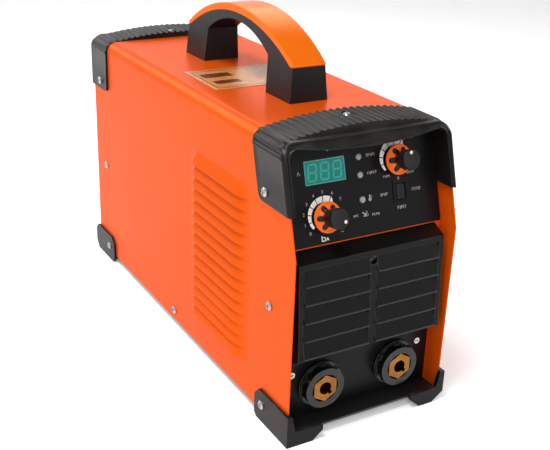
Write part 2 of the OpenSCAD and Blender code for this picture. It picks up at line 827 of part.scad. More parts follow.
module fan_frame() color([0.13, 0.13, 0.14]) on_rear(fan_front) translate([0, fan_z, 0]) difference() {
    union() {
        for (z = [0, fan_depth - 5]) translate([0, 0, z]) linear_extrude(5) difference() {
            rounded_square([fan_size, fan_size], 6);
            circle(d = fan_bore_d);
        }
        linear_extrude(fan_depth) difference() {
            circle(d = fan_bore_d + 5);
            circle(d = fan_bore_d);
        }
        cylinder(d = fan_hub_d, h = 6);
        for (a = [20 : 90 : 290]) rotate([0, 0, a]) translate([fan_hub_d / 2 - 2, -3, 0])
            cube([(fan_bore_d - fan_hub_d) / 2 + 3, 6, 4]);
        cylinder(d = fan_pin_d, h = 26);
    }
    for (x = [-1, 1], z = [-1, 1]) translate([x * fan_hole_pitch / 2, z * fan_hole_pitch / 2, -1])
        cylinder(d = screw_d + 0.4, h = fan_depth + 2);
}

module fan_rotor() color([0.2, 0.2, 0.22]) on_rear(fan_front + 6.6) translate([0, fan_z, 0]) {
    depth = fan_depth - 10;
    difference() {
        cylinder(d = fan_hub_d, h = depth);
        translate([0, 0, -1]) cylinder(d = fan_pin_d + 0.1, h = 22);
    }
    for (k = [0 : blade_count - 1]) rotate([0, 0, k * 360 / blade_count]) intersection() {
        translate([fan_hub_d / 2 - 3, 0, depth / 2]) rotate([blade_tilt, 0, 0])
            translate([0, -1, -30]) cube([rotor_d / 2 - fan_hub_d / 2 + 6, 2, 60]);
        translate([0, 0, 1]) difference() {
            cylinder(d = rotor_d, h = depth - 2);
            translate([0, 0, -1]) cylinder(d = fan_hub_d - 2, h = depth);
        }
    }
}

module fan_screws() color(steel) on_rear(rear_plate_setback + guard_t + 0.1) translate([0, fan_z, 0])
    for (x = [-1, 1], z = [-1, 1]) translate([x * fan_hole_pitch / 2, z * fan_hole_pitch / 2, 0])
        pan_screw(fan_depth + 6, 8, 2.6);

module breaker_body() color([0.16, 0.16, 0.17]) difference() {
    union() {
        on_rear(rear_plate_setback - 44) translate([breaker_pos[0], breaker_pos[1], 0])
            linear_extrude(48) square(breaker_size - [2, 2], center = true);
        on_rear(rear_plate_setback + 0.05) translate([breaker_pos[0], breaker_pos[1], 0])
            linear_extrude(2) square(breaker_size + [6, 6], center = true);
    }
    in_case() translate([-breaker_pos[0] - lever_w / 2 - 0.5, lever_axis_setback, breaker_pos[1]]) {
        rotate([0, 90, 0]) cylinder(r = lever_pivot_r + 0.5, h = lever_w + 1);
        translate([0, 0, -10]) cube([lever_w + 1, 20, 20]);
        translate([-lever_pin_len, 0, 0]) rotate([0, 90, 0])
            cylinder(d = lever_pin_d + 0.1, h = lever_w + 1 + 2 * lever_pin_len);
    }
}

module breaker_lever() color([0.75, 0.1, 0.08]) in_case()
    translate([-breaker_pos[0] - lever_w / 2, lever_axis_setback, breaker_pos[1]]) {
        rotate([0, 90, 0]) cylinder(r = lever_pivot_r, h = lever_w);
        translate([-lever_pin_len, 0, 0]) rotate([0, 90, 0])
            cylinder(d = lever_pin_d, h = lever_w + 2 * lever_pin_len);
        rotate([lever_rest, 0, 0]) translate([0, 0, -2.2]) cube([lever_w, 17, 4.4]);
    }

module cable_gland() color(black) on_rear(rear_plate_setback + 0.05)
    translate([gland_pos[0], gland_pos[1], 0]) difference() {
        union() {
            cylinder(d = gland_d + 8, h = 5, $fn = 6);
            cylinder(d = gland_d + 2, h = 9);
            translate([0, 0, 9]) cylinder(d = gland_d + 5, h = 9, $fn = 12);
            translate([0, 0, 18 - eps]) cylinder(d1 = gland_d + 3, d2 = gland_d - 4, h = 5);
            translate([0, 0, -14]) cylinder(d = gland_d, h = 15);
        }
        translate([0, 0, -20]) cylinder(d = 12, h = 60);
    }

module gland_nut() color(black) on_rear(rear_plate_setback - plate_t - 0.05 - 5)
    translate([gland_pos[0], gland_pos[1], 0]) difference() {
        cylinder(d = gland_d + 9, h = 5, $fn = 6);
        translate([0, 0, -1]) cylinder(d = gland_d + 0.1, h = 10);
    }

module earth_stud() color(steel) on_rear(rear_plate_setback)
    translate([earth_pos[0], earth_pos[1], 0]) {
        translate([0, 0, -14]) cylinder(d = 8, h = 32);
        translate([0, 0, 0.05]) cylinder(d = 16, h = 1.4);
        translate([0, 0, 1.45]) cylinder(d = 14.5, h = 6, $fn = 6);
        translate([0, 0, -plate_t - 6.55]) cylinder(d = 14.5, h = 6.5, $fn = 6);
    }

module rating_plate() color(steel) on_rear(rear_plate_setback + 0.05)
    translate([rating_pos[0], rating_pos[1], 0]) linear_extrude(0.6) rounded_square([58, 30], 2);

// ---------- power electronics ----------

module heat_sink(side) color([0.75, 0.76, 0.78]) mirror([side > 0 ? 0 : 1, 0, 0]) in_case() {
    translate([sink_base_x, sink_y0, sink_z0]) cube([sink_base_t, sink_len, sink_h]);
    fin_pitch = (sink_h - fin_t) / (fin_count - 1);
    for (k = [0 : fin_count - 1])
        translate([sink_base_x + sink_base_t - eps, sink_y0, sink_z0 + k * fin_pitch])
            cube([fin_len, sink_len, fin_t]);
}

module transistors() color([0.15, 0.15, 0.15]) both_sides() for (k = [0 : 4])
    in_case() translate([sink_base_x - 5.05, sink_y0 + 14 + k * 30, 78]) {
        cube([5, 16, 21]);
        for (j = [0 : 2]) translate([2, 2.4 + j * 5.2, 21]) cube([0.8, 1.4, pcb_z - 99 - 0.1]);
    }

module bridge_rectifier() color([0.12, 0.12, 0.13])
    in_case() translate([-sink_base_x + 0.05, sink_y0 + 60, 34]) cube([10, 32, 32]);

module power_board() color([0.05, 0.35, 0.16]) difference() {
    in_case() translate([-pcb_size[0] / 2, pcb_y0, pcb_z]) cube([pcb_size[0], pcb_size[1], board_t]);
    for (x = [-1, 1], y = standoff_y) in_case()
        translate([x * standoff_x, y, pcb_z - 1]) cylinder(d = 4.4, h = 5);
}

module capacitors() color([0.1, 0.14, 0.3]) for (x = [-1, 1], y = cap_y)
    in_case() translate([x * cap_x, y, pcb_z + board_t + 0.05]) cylinder(d = cap_d_big, h = cap_h_big);

module board_standoffs() color([0.85, 0.84, 0.78]) {
    for (x = [-1, 1], y = standoff_y) in_case() {
        translate([x * standoff_x, y, sink_z0 + sink_h + 0.05]) {
            cylinder(d = 9, h = pcb_z - sink_z0 - sink_h - 0.1);
            cylinder(d = 4, h = pcb_z - sink_z0 - sink_h + board_t + 2);
        }
        translate([x * 46 - 14, y - 8, tray_top + 0.05]) cube([28, 16, sink_z0 - tray_top - 0.1]);
    }
}

module transformer_core() color([0.25, 0.25, 0.27]) in_case() translate([0, transformer_y, tray_top + 0.05])
    difference() {
        translate([-38, -15, 0]) cube([76, 30, 70]);
        for (x = [-1, 1]) translate([x * 20 - 8, -20, 12]) cube([16, 40, 46]);
    }

module transformer_winding() color([0.7, 0.4, 0.15]) in_case() translate([0, transformer_y, tray_top + 13])
    linear_extrude(44) difference() {
        rounded_square([54.5, 62], 13);
        square([24.6, 30.6], center = true);
    }

module output_inductor() color([0.72, 0.42, 0.16]) in_case() translate([0, inductor_y, tray_top + 14.1])
    rotate_extrude() translate([26, 0]) circle(14);

module control_board() color([0.05, 0.35, 0.16]) on_slope(face_setback)
    translate([-76, 22, board_front - board_t - 0.02]) cube([152, 68, board_t]);

module potentiometers() color(steel) for (p = [current_pos, force_pos]) on_slope(face_setback)
    translate([p[0], p[1], 0]) difference() {
        union() {
            translate([0, 0, -plate_t - 8.6]) cylinder(d = pot_body_d, h = 8.55);
            translate([0, 0, -plate_t - 1]) cylinder(d = pot_bush_d, h = plate_t + 1 + fascia_t);
        }
        translate([0, 0, -plate_t - 7]) cylinder(d = shaft_d + 0.1, h = 30);
    }

module bus_bars() color([0.8, 0.45, 0.2]) both_sides() in_case() {
    translate([socket_x - 9, contact_tail + 0.05, socket_z - 9]) cube([18, 3, 18]);
    translate([socket_x + 3, contact_tail + 3, socket_z - 8]) cube([3, sink_y0 - contact_tail - 4, 16]);
}

// ---------- controls ----------

module pot_shaft(p) color(steel) on_slope(face_setback) translate([p[0], p[1], -plate_t - 6.8])
    cylinder(d = shaft_d, h = plate_t + 6.8 + fascia_t + knob_gap + knob_bore_depth);

module knob_skirt(p) color(orange) on_slope(fascia_face) translate([p[0], p[1], knob_gap]) difference() {
    union() {
        cylinder(d = skirt_d, h = skirt_t * 0.55);
        translate([0, 0, skirt_t * 0.55]) cylinder(d1 = skirt_d, d2 = skirt_d - 2.4, h = skirt_t * 0.45);
    }
    translate([0, 0, -1]) cylinder(d = pot_bush_d + 1.4, h = 10);
}

module knob(p, pointer) color(black) on_slope(fascia_face)
    translate([p[0], p[1], knob_gap + skirt_t + 0.02]) rotate([0, 0, pointer]) {
        rise = knob_h - knob_gap - skirt_t;
        difference() {
            union() {
                cylinder(d = cap_d - 3, h = rise - 1);
                translate([0, 0, 5]) cylinder(d1 = cap_d - 2, d2 = cap_d, h = 5);
                translate([0, 0, 10 - eps]) cylinder(d = cap_d, h = rise - 11);
                translate([0, 0, rise - 1 - eps]) cylinder(d1 = cap_d, d2 = cap_d - 2, h = 1);
                for (k = [0 : lobe_count - 1]) rotate([0, 0, k * 360 / lobe_count + 30]) {
                    translate([0, -2.4, 0]) cube([skirt_d / 2 - 3.6, 4.8, 4]);
                    translate([skirt_d / 2 - 3.6, 0, 0]) cylinder(d = 4.8, h = 4);
                }
                translate([-0.9, 0, rise - 1]) cube([1.8, cap_d / 2 - 2, 1.3]);
            }
            translate([0, 0, -1]) cylinder(d = shaft_d + 0.04, h = knob_bore_depth - 1);
        }
    }

module current_knob() knob(current_pos, current_rest);
module current_knob_skirt() knob_skirt(current_pos);
module current_shaft() pot_shaft(current_pos);
module force_knob() knob(force_pos, force_rest);
module force_knob_skirt() knob_skirt(force_pos);
module force_shaft() pot_shaft(force_pos);

// rocks left and right about an axis that runs up the slope
module selector_rocker() color([0.16, 0.13, 0.14]) on_slope(fascia_face)
    translate([selector_pos[0], selector_pos[1], -rocker_depth]) rotate([90, 0, 0])
        rotate([0, 0, rocker_rest]) translate([0, 0, -rocker_len / 2]) linear_extrude(rocker_len)
            polygon([[-3.6, -1.6], [-3.9, 5.4], [0, 4.2], [3.9, 5.4], [3.6, -1.6]]);

module socket_collar_plus() socket_collar(-1);
module socket_collar_minus() socket_collar(1);
module socket_contact_plus() socket_contact(-1);
module socket_contact_minus() socket_contact(1);
module heat_sink_left() heat_sink(-1);
module heat_sink_right() heat_sink(1);

cover();
base_tray();
front_plate();
rear_plate();
control_fascia();
front_hood();
rear_hood();
front_grille();
socket_panel();
foot_front_left();
foot_front_right();
foot_rear_left();
foot_rear_right();
socket_collar_plus();
socket_collar_minus();
socket_contact_plus();
socket_contact_minus();
display_window();
display_module();
indicator_lenses();
selector_housing();
handle_body();
handle_strap();
handle_screws();
cover_screws();
hood_screws();
foot_screws();
grille_screw();
info_plate();
fan_guard();
fan_frame();
fan_screws();
breaker_body();
cable_gland();
gland_nut();
earth_stud();
rating_plate();
heat_sink_left();
heat_sink_right();
power_board();
transistors();
capacitors();
bridge_rectifier();
transformer_core();
transformer_winding();
output_inductor();
control_board();
potentiometers();
bus_bars();
board_standoffs();
current_knob();
current_knob_skirt();
current_shaft();
force_knob();
force_knob_skirt();
force_shaft();
selector_rocker();
fan_rotor();
breaker_lever();
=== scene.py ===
import math

import bmesh
import bpy
from mathutils import Matrix, Vector


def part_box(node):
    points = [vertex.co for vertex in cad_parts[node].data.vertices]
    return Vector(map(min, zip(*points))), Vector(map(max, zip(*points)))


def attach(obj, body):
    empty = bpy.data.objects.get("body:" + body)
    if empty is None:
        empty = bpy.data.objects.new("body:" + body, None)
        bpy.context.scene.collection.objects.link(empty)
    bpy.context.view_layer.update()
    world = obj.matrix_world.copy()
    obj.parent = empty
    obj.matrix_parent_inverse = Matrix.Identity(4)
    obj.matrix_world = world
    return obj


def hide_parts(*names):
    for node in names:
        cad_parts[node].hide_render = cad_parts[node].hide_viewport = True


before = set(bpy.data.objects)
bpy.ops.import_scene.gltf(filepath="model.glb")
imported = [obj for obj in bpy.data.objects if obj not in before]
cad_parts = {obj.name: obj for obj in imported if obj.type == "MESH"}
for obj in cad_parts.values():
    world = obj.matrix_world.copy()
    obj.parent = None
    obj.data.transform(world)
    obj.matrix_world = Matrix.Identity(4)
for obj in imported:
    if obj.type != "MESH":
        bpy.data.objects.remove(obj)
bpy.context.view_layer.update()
MM = 0.001

# ---------- driving dimensions, in millimetres, read from the frame ----------

cover_lo, cover_hi = (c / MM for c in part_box("cover"))
front_y = cover_lo.y                      # the cover's front edge, below the fold
case_len = cover_hi.y - cover_lo.y
case_top = cover_hi.z
case_bottom = cover_lo.z
half_w = 89.0                             # outer face of the cover's side sheets
cover_t = 1.2
bend_r = 12.0
datum = case_bottom - 13.0                # the drawing's zero height
fold_z = datum + 194.0                    # above this height the front leans back
lean = math.radians(16.8)
gap = 0.2
hood_leg_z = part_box("front_hood")[0].z / MM
crown_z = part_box("front_hood")[1].z / MM - 1.4
hood_half_w = half_w + 3.0
hood_depth = 48.0
screw_from_edge = 36.0                    # of the screws on top of the hoods
plate_setback = 22.5                      # of the front plate's face, behind the cover's edge
panel_t = 1.5                             # of the socket panel, which lies on the front plate
panel_face = plate_setback - panel_t + 0.04        # setback of the marks on the socket panel
fascia_d = plate_setback * math.cos(lean) - 2.4    # fascia face, square behind the leaning edge


# ---------- mesh helpers ----------

def sharpen(bm, angle):
    """Smooth faces, with edges sharper than angle (degrees) kept crisp."""
    for f in bm.faces:
        f.smooth = True
    limit = math.radians(angle)
    for e in bm.edges:
        e.smooth = len(e.link_faces) == 2 and e.calc_face_angle(0) < limit


def make(name, verts, faces, angle=35, scale=MM):
    """A mesh object from points in millimetres."""
    bm = bmesh.new()
    points = [bm.verts.new(Vector(v) * scale) for v in verts]
    for f in faces:
        bm.faces.new([points[i] for i in f])
    bmesh.ops.remove_doubles(bm, verts=bm.verts, dist=2e-6)
    bmesh.ops.recalc_face_normals(bm, faces=bm.faces)
    return finish_mesh(name, bm, angle)


def finish_mesh(name, bm, angle=35):
    sharpen(bm, angle)
    mesh = bpy.data.meshes.new(name)
    bm.to_mesh(mesh)
    bm.free()
    obj = bpy.data.objects.new(name, mesh)
    bpy.context.scene.collection.objects.link(obj)
    return obj


def grid_faces(rows, cols, close_cols=False):
    faces = []
    for i in range(rows - 1):
        for j in range(cols if close_cols else cols - 1):
            a, b = i * cols + j, i * cols + (j + 1) % cols
            c, d = (i + 1) * cols + (j + 1) % cols, (i + 1) * cols + j
            faces.append((a, b, c, d))
    return faces


def weighted(obj):
    """Keeps flat faces flat beside rounded edges."""
    m = obj.modifiers.new("normals", "WEIGHTED_NORMAL")
    m.keep_sharp = True
    return obj


def bevel_bm(bm, width, segments, angle=28):
    limit = math.radians(angle)
    edges = [e for e in bm.edges if len(e.link_faces) == 2 and e.calc_face_angle(0) > limit]
    bmesh.ops.bevel(bm, geom=edges, offset=width * MM, offset_type="OFFSET", segments=segments,
                    profile=0.6, affect="EDGES", clamp_overlap=True)


def lathe(name, profile, segments=96, angle=35):
    """Turns an (r, z) outline about Z; r 0 at either end closes it."""
    verts, rings = [], []
    for r, z in profile:
        if r == 0:
            rings.append([len(verts)])
            verts.append((0, 0, z))
        else:
            rings.append(list(range(len(verts), len(verts) + segments)))
            angles = [2 * math.pi * k / segments for k in range(segments)]
            verts += [(r * math.cos(a), r * math.sin(a), z) for a in angles]
    faces = []
    for a, b in zip(rings, rings[1:]):
        for k in range(segments):
            n = (k + 1) % segments
            if len(a) == 1:
                faces.append((a[0], b[k], b[n]))
            elif len(b) == 1:
                faces.append((a[k], a[n], b[0]))
            else:
                faces.append((a[k], a[n], b[n], b[k]))
    return make(name, verts, faces, angle)


def plate(name, outlines, z0, z1, bevel=0.0, angle=35):
    """Prisms between z0 and z1 from closed 2-D outlines."""
    bm = bmesh.new()
    for outline in outlines:
        low = [bm.verts.new((x * MM, y * MM, z0 * MM)) for x, y in outline]
        high = [bm.verts.new((x * MM, y * MM, z1 * MM)) for x, y in outline]
        bm.faces.new(high)
        bm.faces.new(list(reversed(low)))
        n = len(outline)
        for k in range(n):
            bm.faces.new((low[k], low[(k + 1) % n], high[(k + 1) % n], high[k]))
    bmesh.ops.recalc_face_normals(bm, faces=bm.faces)
    if bevel:
        bevel_bm(bm, bevel, 2)
    return finish_mesh(name, bm, angle)


def rect(cx, cy, w, h, r=0.0, steps=5):
    """Rounded rectangle outline."""
    if r <= 0:
        left, right, low, high = cx - w / 2, cx + w / 2, cy - h / 2, cy + h / 2
        return [(left, low), (right, low), (right, high), (left, high)]
    points = []
    for k, (sx, sy) in enumerate(((1, -1), (1, 1), (-1, 1), (-1, -1))):
        for i in range(steps + 1):
            a = math.radians(-90 + 90 * k + 90 * i / steps)
            points.append((cx + sx * (w / 2 - r) + r * math.cos(a),
                           cy + sy * (h / 2 - r) + r * math.sin(a)))
    return points


def disc(cx, cy, r, n=32):
    angles = [2 * math.pi * k / n for k in range(n)]
    return [(cx + r * math.cos(a), cy + r * math.sin(a)) for a in angles]


def arc_band(cx, cy, r0, r1, a0, a1, n=8):
    """Outline of a piece of ring; r1 may be a pair, for a band that grows."""
    ra, rb = r1 if isinstance(r1, tuple) else (r1, r1)
    ang = [math.radians(a0 + (a1 - a0) * k / n) for k in range(n + 1)]
    outer = [(cx + (ra + (rb - ra) * k / n) * math.cos(a), cy + (ra + (rb - ra) * k / n) * math.sin(a))
             for k, a in enumerate(ang)]
    inner = [(cx + r0 * math.cos(a), cy + r0 * math.sin(a)) for a in reversed(ang)]
    return outer + inner


def cut(obj, cutter):
    """Subtracts a closed cutter from a closed mesh."""
    m = obj.modifiers.new("cut", "BOOLEAN")
    m.operation = "DIFFERENCE"
    m.solver = "EXACT"
    m.object = cutter
    bpy.context.view_layer.update()
    done = bpy.data.meshes.new_from_object(obj.evaluated_get(bpy.context.evaluated_depsgraph_get()))
    obj.modifiers.clear()
    obj.data = done
    bpy.data.objects.remove(cutter)
    return obj


def slope_matrix():
    """Local X across, Y up the slope, Z out of the fascia's face; origin on the fold line's plane."""
    m = Matrix.Rotation(math.pi / 2 - lean, 4, "X")
    origin = Vector((0, front_y + fascia_d * math.cos(lean), fold_z - fascia_d * math.sin(lean)))
    m.translation = origin * MM
    return m


def front_matrix(x, setback, z):
    """Local Z out of the front."""
    m = Matrix.Rotation(math.pi / 2, 4, "X")
    m.translation = Vector((x, front_y + setback, z)) * MM
    return m


def place(obj, matrix, shift=(0, 0, 0), turn=0.0):
    turned = Matrix.Rotation(math.radians(turn), 4, "Z")
    obj.data.transform(matrix @ Matrix.Translation(Vector(shift) * MM) @ turned)
    return obj


def dress(obj, body, material, slot, *nodes):
    """Rides the piece on its body, gives it its material, and hides the CAD parts it stands in for."""
    obj.data.materials.clear()
    obj.data.materials.append(material)
    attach(obj, body)
    if nodes:
        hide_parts(*nodes)
    return obj


def polished(node, body, material, slot, width=0.6, segments=2, angle=28, planes=()):
    """The CAD part's own shape, its edges eased, trimmed by planes: a point in mm and the way out."""
    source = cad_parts[node].data
    bm = bmesh.new()
    bm.from_mesh(source)
    bmesh.ops.remove_doubles(bm, verts=bm.verts, dist=5e-6)
    bmesh.ops.dissolve_limit(bm, angle_limit=math.radians(0.5), verts=bm.verts, edges=bm.edges)
    for point, outward in planes:
        trimmed = bmesh.ops.bisect_plane(bm, geom=bm.verts[:] + bm.edges[:] + bm.faces[:], dist=1e-6,
                                         plane_co=Vector(point) * MM, plane_no=Vector(outward),
                                         clear_outer=True)
        rim = [e for e in trimmed["geom_cut"] if isinstance(e, bmesh.types.BMEdge)]
        bmesh.ops.edgeloop_fill(bm, edges=rim)
    bmesh.ops.recalc_face_normals(bm, faces=bm.faces)
    bevel_bm(bm, width, segments, angle)
    bmesh.ops.triangulate(bm, faces=[f for f in bm.faces if len(f.verts) > 4])
    obj = weighted(finish_mesh(node + ".shown", bm, 40))
    return dress(obj, body, material, slot, node)


# ---------- materials ----------

def linear(r, g, b):
    """Linear colour from 0-255 display values."""
    return tuple(((c / 255 + 0.055) / 1.055) ** 2.4 if c > 10 else c / 255 / 12.92 for c in (r, g, b))


def material(name, color, rough=0.4, metallic=0.0, specular=0.5, coat=0.0, coat_rough=0.1,
             mottle=0.08, mottle_scale=9, rough_vary=0.10, grain=0.0, grain_scale=1400,
             brush=0.0, wear=None, wear_amount=0.5, dust=0.0, emission=None, tint_specular=(1, 1, 1)):
    """Principled material: mottled colour, varied roughness, grain or brushing, dust, worn edges."""
    mat = bpy.data.materials.new(name)
    mat.use_nodes = True
    nodes, links = mat.node_tree.nodes, mat.node_tree.links
    shader = nodes["Principled BSDF"]
    shader.inputs["Metallic"].default_value = metallic
    shader.inputs["Specular IOR Level"].default_value = specular
    shader.inputs["Coat Weight"].default_value = coat
    shader.inputs["Specular Tint"].default_value = (*tint_specular, 1)
    shader.inputs["Coat Roughness"].default_value = coat_rough
    where = nodes.new("ShaderNodeTexCoord").outputs["Object"]

    def noise(scale, detail=3.0, rough_=0.55, source=where):
        n = nodes.new("ShaderNodeTexNoise")
        n.inputs["Scale"].default_value = scale
        n.inputs["Detail"].default_value = detail
        n.inputs["Roughness"].default_value = rough_
        links.new(source, n.inputs["Vector"])
        return n.outputs["Fac"]

    def ramp(value, lo, hi, to_lo, to_hi):
        n = nodes.new("ShaderNodeMapRange")
        n.inputs["From Min"].default_value = lo
        n.inputs["From Max"].default_value = hi
        n.inputs["To Min"].default_value = to_lo
        n.inputs["To Max"].default_value = to_hi
        links.new(value, n.inputs["Value"])
        return n.outputs["Result"]

    def mix(factor, a, b):
        n = nodes.new("ShaderNodeMix")
        n.data_type = "RGBA"
        links.new(factor, n.inputs["Factor"])
        for socket, value in ((n.inputs[6], a), (n.inputs[7], b)):
            if isinstance(value, tuple):
                socket.default_value = (*value[:3], 1)
            else:
                links.new(value, socket)
        return n.outputs[2]

    low = tuple(c * (1 - mottle) for c in color)
    high = tuple(min(1.0, c * (1 + mottle)) for c in color)
    tint = mix(ramp(noise(mottle_scale, 4), 0.35, 0.65, 0, 1), low, high)
    if dust:
        geometry = nodes.new("ShaderNodeNewGeometry")
        split = nodes.new("ShaderNodeSeparateXYZ")
        links.new(geometry.outputs["Normal"], split.inputs["Vector"])
        up = ramp(split.outputs["Z"], 0.5, 1.0, 0, dust)
        times = nodes.new("ShaderNodeMath")
        times.operation = "MULTIPLY"
        links.new(up, times.inputs[0])
        links.new(ramp(noise(38, 6, 0.7), 0.42, 0.66, 0, 1), times.inputs[1])
        tint = mix(times.outputs[0], tint, (0.30, 0.27, 0.24))
    if wear:
        eased = nodes.new("ShaderNodeBevel")
        eased.samples = 4
        eased.inputs["Radius"].default_value = 0.0006
        same = nodes.new("ShaderNodeVectorMath")
        same.operation = "DOT_PRODUCT"
        links.new(eased.outputs["Normal"], same.inputs[0])
        links.new(nodes.new("ShaderNodeNewGeometry").outputs["Normal"], same.inputs[1])
        edge = ramp(same.outputs["Value"], 0.99, 0.88, 0, wear_amount)
        times = nodes.new("ShaderNodeMath")
        times.operation = "MULTIPLY"
        links.new(edge, times.inputs[0])
        links.new(ramp(noise(60, 5, 0.7), 0.4, 0.62, 0.2, 1), times.inputs[1])
        tint = mix(times.outputs[0], tint, wear)
    links.new(tint, shader.inputs["Base Color"])
    smoothest, roughest = max(0.02, rough - rough_vary), rough + rough_vary
    links.new(ramp(noise(mottle_scale * 2.3, 5, 0.65), 0.3, 0.7, smoothest, roughest),
              shader.inputs["Roughness"])
    if grain or brush:
        height = noise(grain_scale, 2, 0.5)
        if brush:
            stretch = nodes.new("ShaderNodeMapping")
            stretch.inputs["Scale"].default_value = (1, 0.02, 1)
            links.new(where, stretch.inputs["Vector"])
            height = noise(grain_scale, 3, 0.6, stretch.outputs["Vector"])
        bump = nodes.new("ShaderNodeBump")
        bump.inputs["Strength"].default_value = grain or brush
        bump.inputs["Distance"].default_value = 0.0002
        links.new(height, bump.inputs["Height"])
        links.new(bump.outputs["Normal"], shader.inputs["Normal"])
    if emission:
        shader.inputs["Emission Color"].default_value = (*emission[:3], 1)
        shader.inputs["Emission Strength"].default_value = emission[3]
    return mat


orange_paint = material("orange_powder_coat", linear(222, 84, 10), rough=0.32, metallic=0.30,
    specular=0.10, tint_specular=(1.0, 0.42, 0.10), mottle=0.03, mottle_scale=5, rough_vary=0.03,
    grain=0.0)
hood_plastic = material("moulded_black_plastic", linear(19, 17, 15), rough=0.36, specular=0.20,
    mottle=0.04, mottle_scale=60, rough_vary=0.03, grain=0.30, grain_scale=1500,
    wear=linear(98, 92, 86), wear_amount=0.35, dust=0.10)
handle_plastic = material("handle_black_plastic", linear(17, 17, 19), rough=0.36, specular=0.22,
    mottle=0.06, mottle_scale=90, rough_vary=0.03, grain=0.35, grain_scale=1100,
    wear=linear(120, 118, 116), wear_amount=0.4)
foot_plastic = material("foot_black_plastic", linear(13, 13, 13), rough=0.36, specular=0.16,
    mottle=0.06, mottle_scale=90, rough_vary=0.03, grain=0.4, grain_scale=1300,
    wear=linear(104, 100, 96), wear_amount=0.5, dust=0.12)
grille_plastic = material("grille_black_plastic", linear(12, 11, 10), rough=0.32, specular=0.14,
    mottle=0.02, mottle_scale=80, rough_vary=0.02, grain=0.16, grain_scale=1800,
    wear=linear(120, 118, 112), wear_amount=0.55)
collar_plastic = material("collar_black_plastic", linear(13, 12, 12), rough=0.20, specular=0.45,
    mottle=0.03, mottle_scale=80, rough_vary=0.02, grain=0.10, grain_scale=1800,
    wear=linear(150, 148, 144), wear_amount=0.4)
fascia_film = material("fascia_film", linear(13, 11, 12), rough=0.36, specular=0.12, mottle=0.04,
    mottle_scale=20, rough_vary=0.02, grain=0.12, grain_scale=2600)
panel_film = material("socket_panel_film", linear(12, 11, 12), rough=0.34, specular=0.14, mottle=0.04,
    mottle_scale=16, rough_vary=0.02, grain=0.15, grain_scale=2200)
strap_plastic = material("orange_gloss_plastic", linear(236, 108, 18), rough=0.22, metallic=0.25,
    specular=0.15, tint_specular=(1.0, 0.62, 0.30), mottle=0.05, mottle_scale=12, rough_vary=0.05,
    grain=0.05, grain_scale=500, wear=linear(250, 150, 80), wear_amount=0.4)
skirt_plastic = material("knob_skirt_plastic", linear(236, 104, 36), rough=0.34, specular=0.12,
    mottle=0.04, mottle_scale=60, grain=0.12, grain_scale=1800, wear=linear(250, 160, 110),
    wear_amount=0.4)
knob_plastic = material("knob_black_plastic", linear(18, 19, 20), rough=0.38, specular=0.24,
    mottle=0.05, mottle_scale=90, rough_vary=0.03, grain=0.22, grain_scale=2600,
    wear=linear(110, 108, 106), wear_amount=0.4)
white_print = material("white_print", linear(232, 230, 224), rough=0.5, mottle=0.06, mottle_scale=120,
    grain=0.1, grain_scale=3000)
grey_print = material("grey_print", linear(150, 148, 144), rough=0.5, mottle=0.08, mottle_scale=120,
    grain=0.1, grain_scale=3000)
window_teal = material("display_filter", linear(20, 114, 106), rough=0.22, specular=0.2, mottle=0.05,
    mottle_scale=60, rough_vary=0.03, grain=0.03, emission=(*linear(26, 130, 118), 0.05))
segment_teal = material("display_segment", linear(48, 148, 138), rough=0.25, specular=0.2, mottle=0.05,
    mottle_scale=90, grain=0.05, emission=(*linear(60, 170, 156), 0.05))
frame_teal = material("display_rim", linear(52, 154, 144), rough=0.25, mottle=0.06, mottle_scale=80,
    grain=0.05)
lens_grey = material("indicator_lens", linear(138, 136, 134), rough=0.25, coat=0.4, mottle=0.07,
    mottle_scale=150, grain=0.06)
brass = material("turned_brass", linear(150, 98, 48), rough=0.32, metallic=1.0, mottle=0.14,
    mottle_scale=70, rough_vary=0.10, grain=0.15, grain_scale=1800, wear=linear(238, 200, 140),
    wear_amount=0.6)
zinc = material("zinc_plated_steel", linear(176, 176, 178), rough=0.30, metallic=1.0, mottle=0.12,
    mottle_scale=160, rough_vary=0.12, grain=0.12, grain_scale=2500)
dark_screw = material("blackened_screw", linear(84, 82, 80), rough=0.34, metallic=0.9, mottle=0.2,
    mottle_scale=200, rough_vary=0.12, grain=0.15, grain_scale=2500, wear=linear(190, 188, 184),
    wear_amount=0.7)
black_paint = material("black_paint", linear(26, 26, 27), rough=0.42, mottle=0.1, mottle_scale=14,
    grain=0.12, grain_scale=900, wear=linear(90, 88, 86), wear_amount=0.4)
foil_tan = material("printed_foil_tan", linear(186, 120, 62), rough=0.32, mottle=0.10, mottle_scale=45,
    grain=0.08, grain_scale=1500)
foil_dark = material("printed_foil_dark", linear(96, 36, 10), rough=0.35, mottle=0.15, mottle_scale=60,
    grain=0.08, grain_scale=1500)
electronics = material("dark_epoxy", linear(40, 40, 42), rough=0.5, mottle=0.12, mottle_scale=80,
    grain=0.2, grain_scale=2000)
aluminium = material("extruded_aluminium", linear(196, 198, 202), rough=0.34, metallic=1.0, mottle=0.08,
    mottle_scale=30, brush=0.3, grain_scale=1800)
board_green = material("solder_mask", linear(18, 92, 50), rough=0.3, coat=0.4, mottle=0.12,
    mottle_scale=90, grain=0.08, grain_scale=1500)
copper = material("enamelled_copper", linear(196, 110, 58), rough=0.3, metallic=1.0, mottle=0.15,
    mottle_scale=70, brush=0.4, grain_scale=900)
ferrite = material("sintered_ferrite", linear(62, 62, 64), rough=0.6, mottle=0.12, mottle_scale=60,
    grain=0.4, grain_scale=1600)
nylon = material("natural_nylon", linear(214, 210, 196), rough=0.5, mottle=0.05, mottle_scale=60,
    grain=0.15, grain_scale=1500)
sleeve_blue = material("capacitor_sleeve", linear(34, 44, 84), rough=0.25, coat=0.3, mottle=0.08,
    mottle_scale=50, grain=0.05)
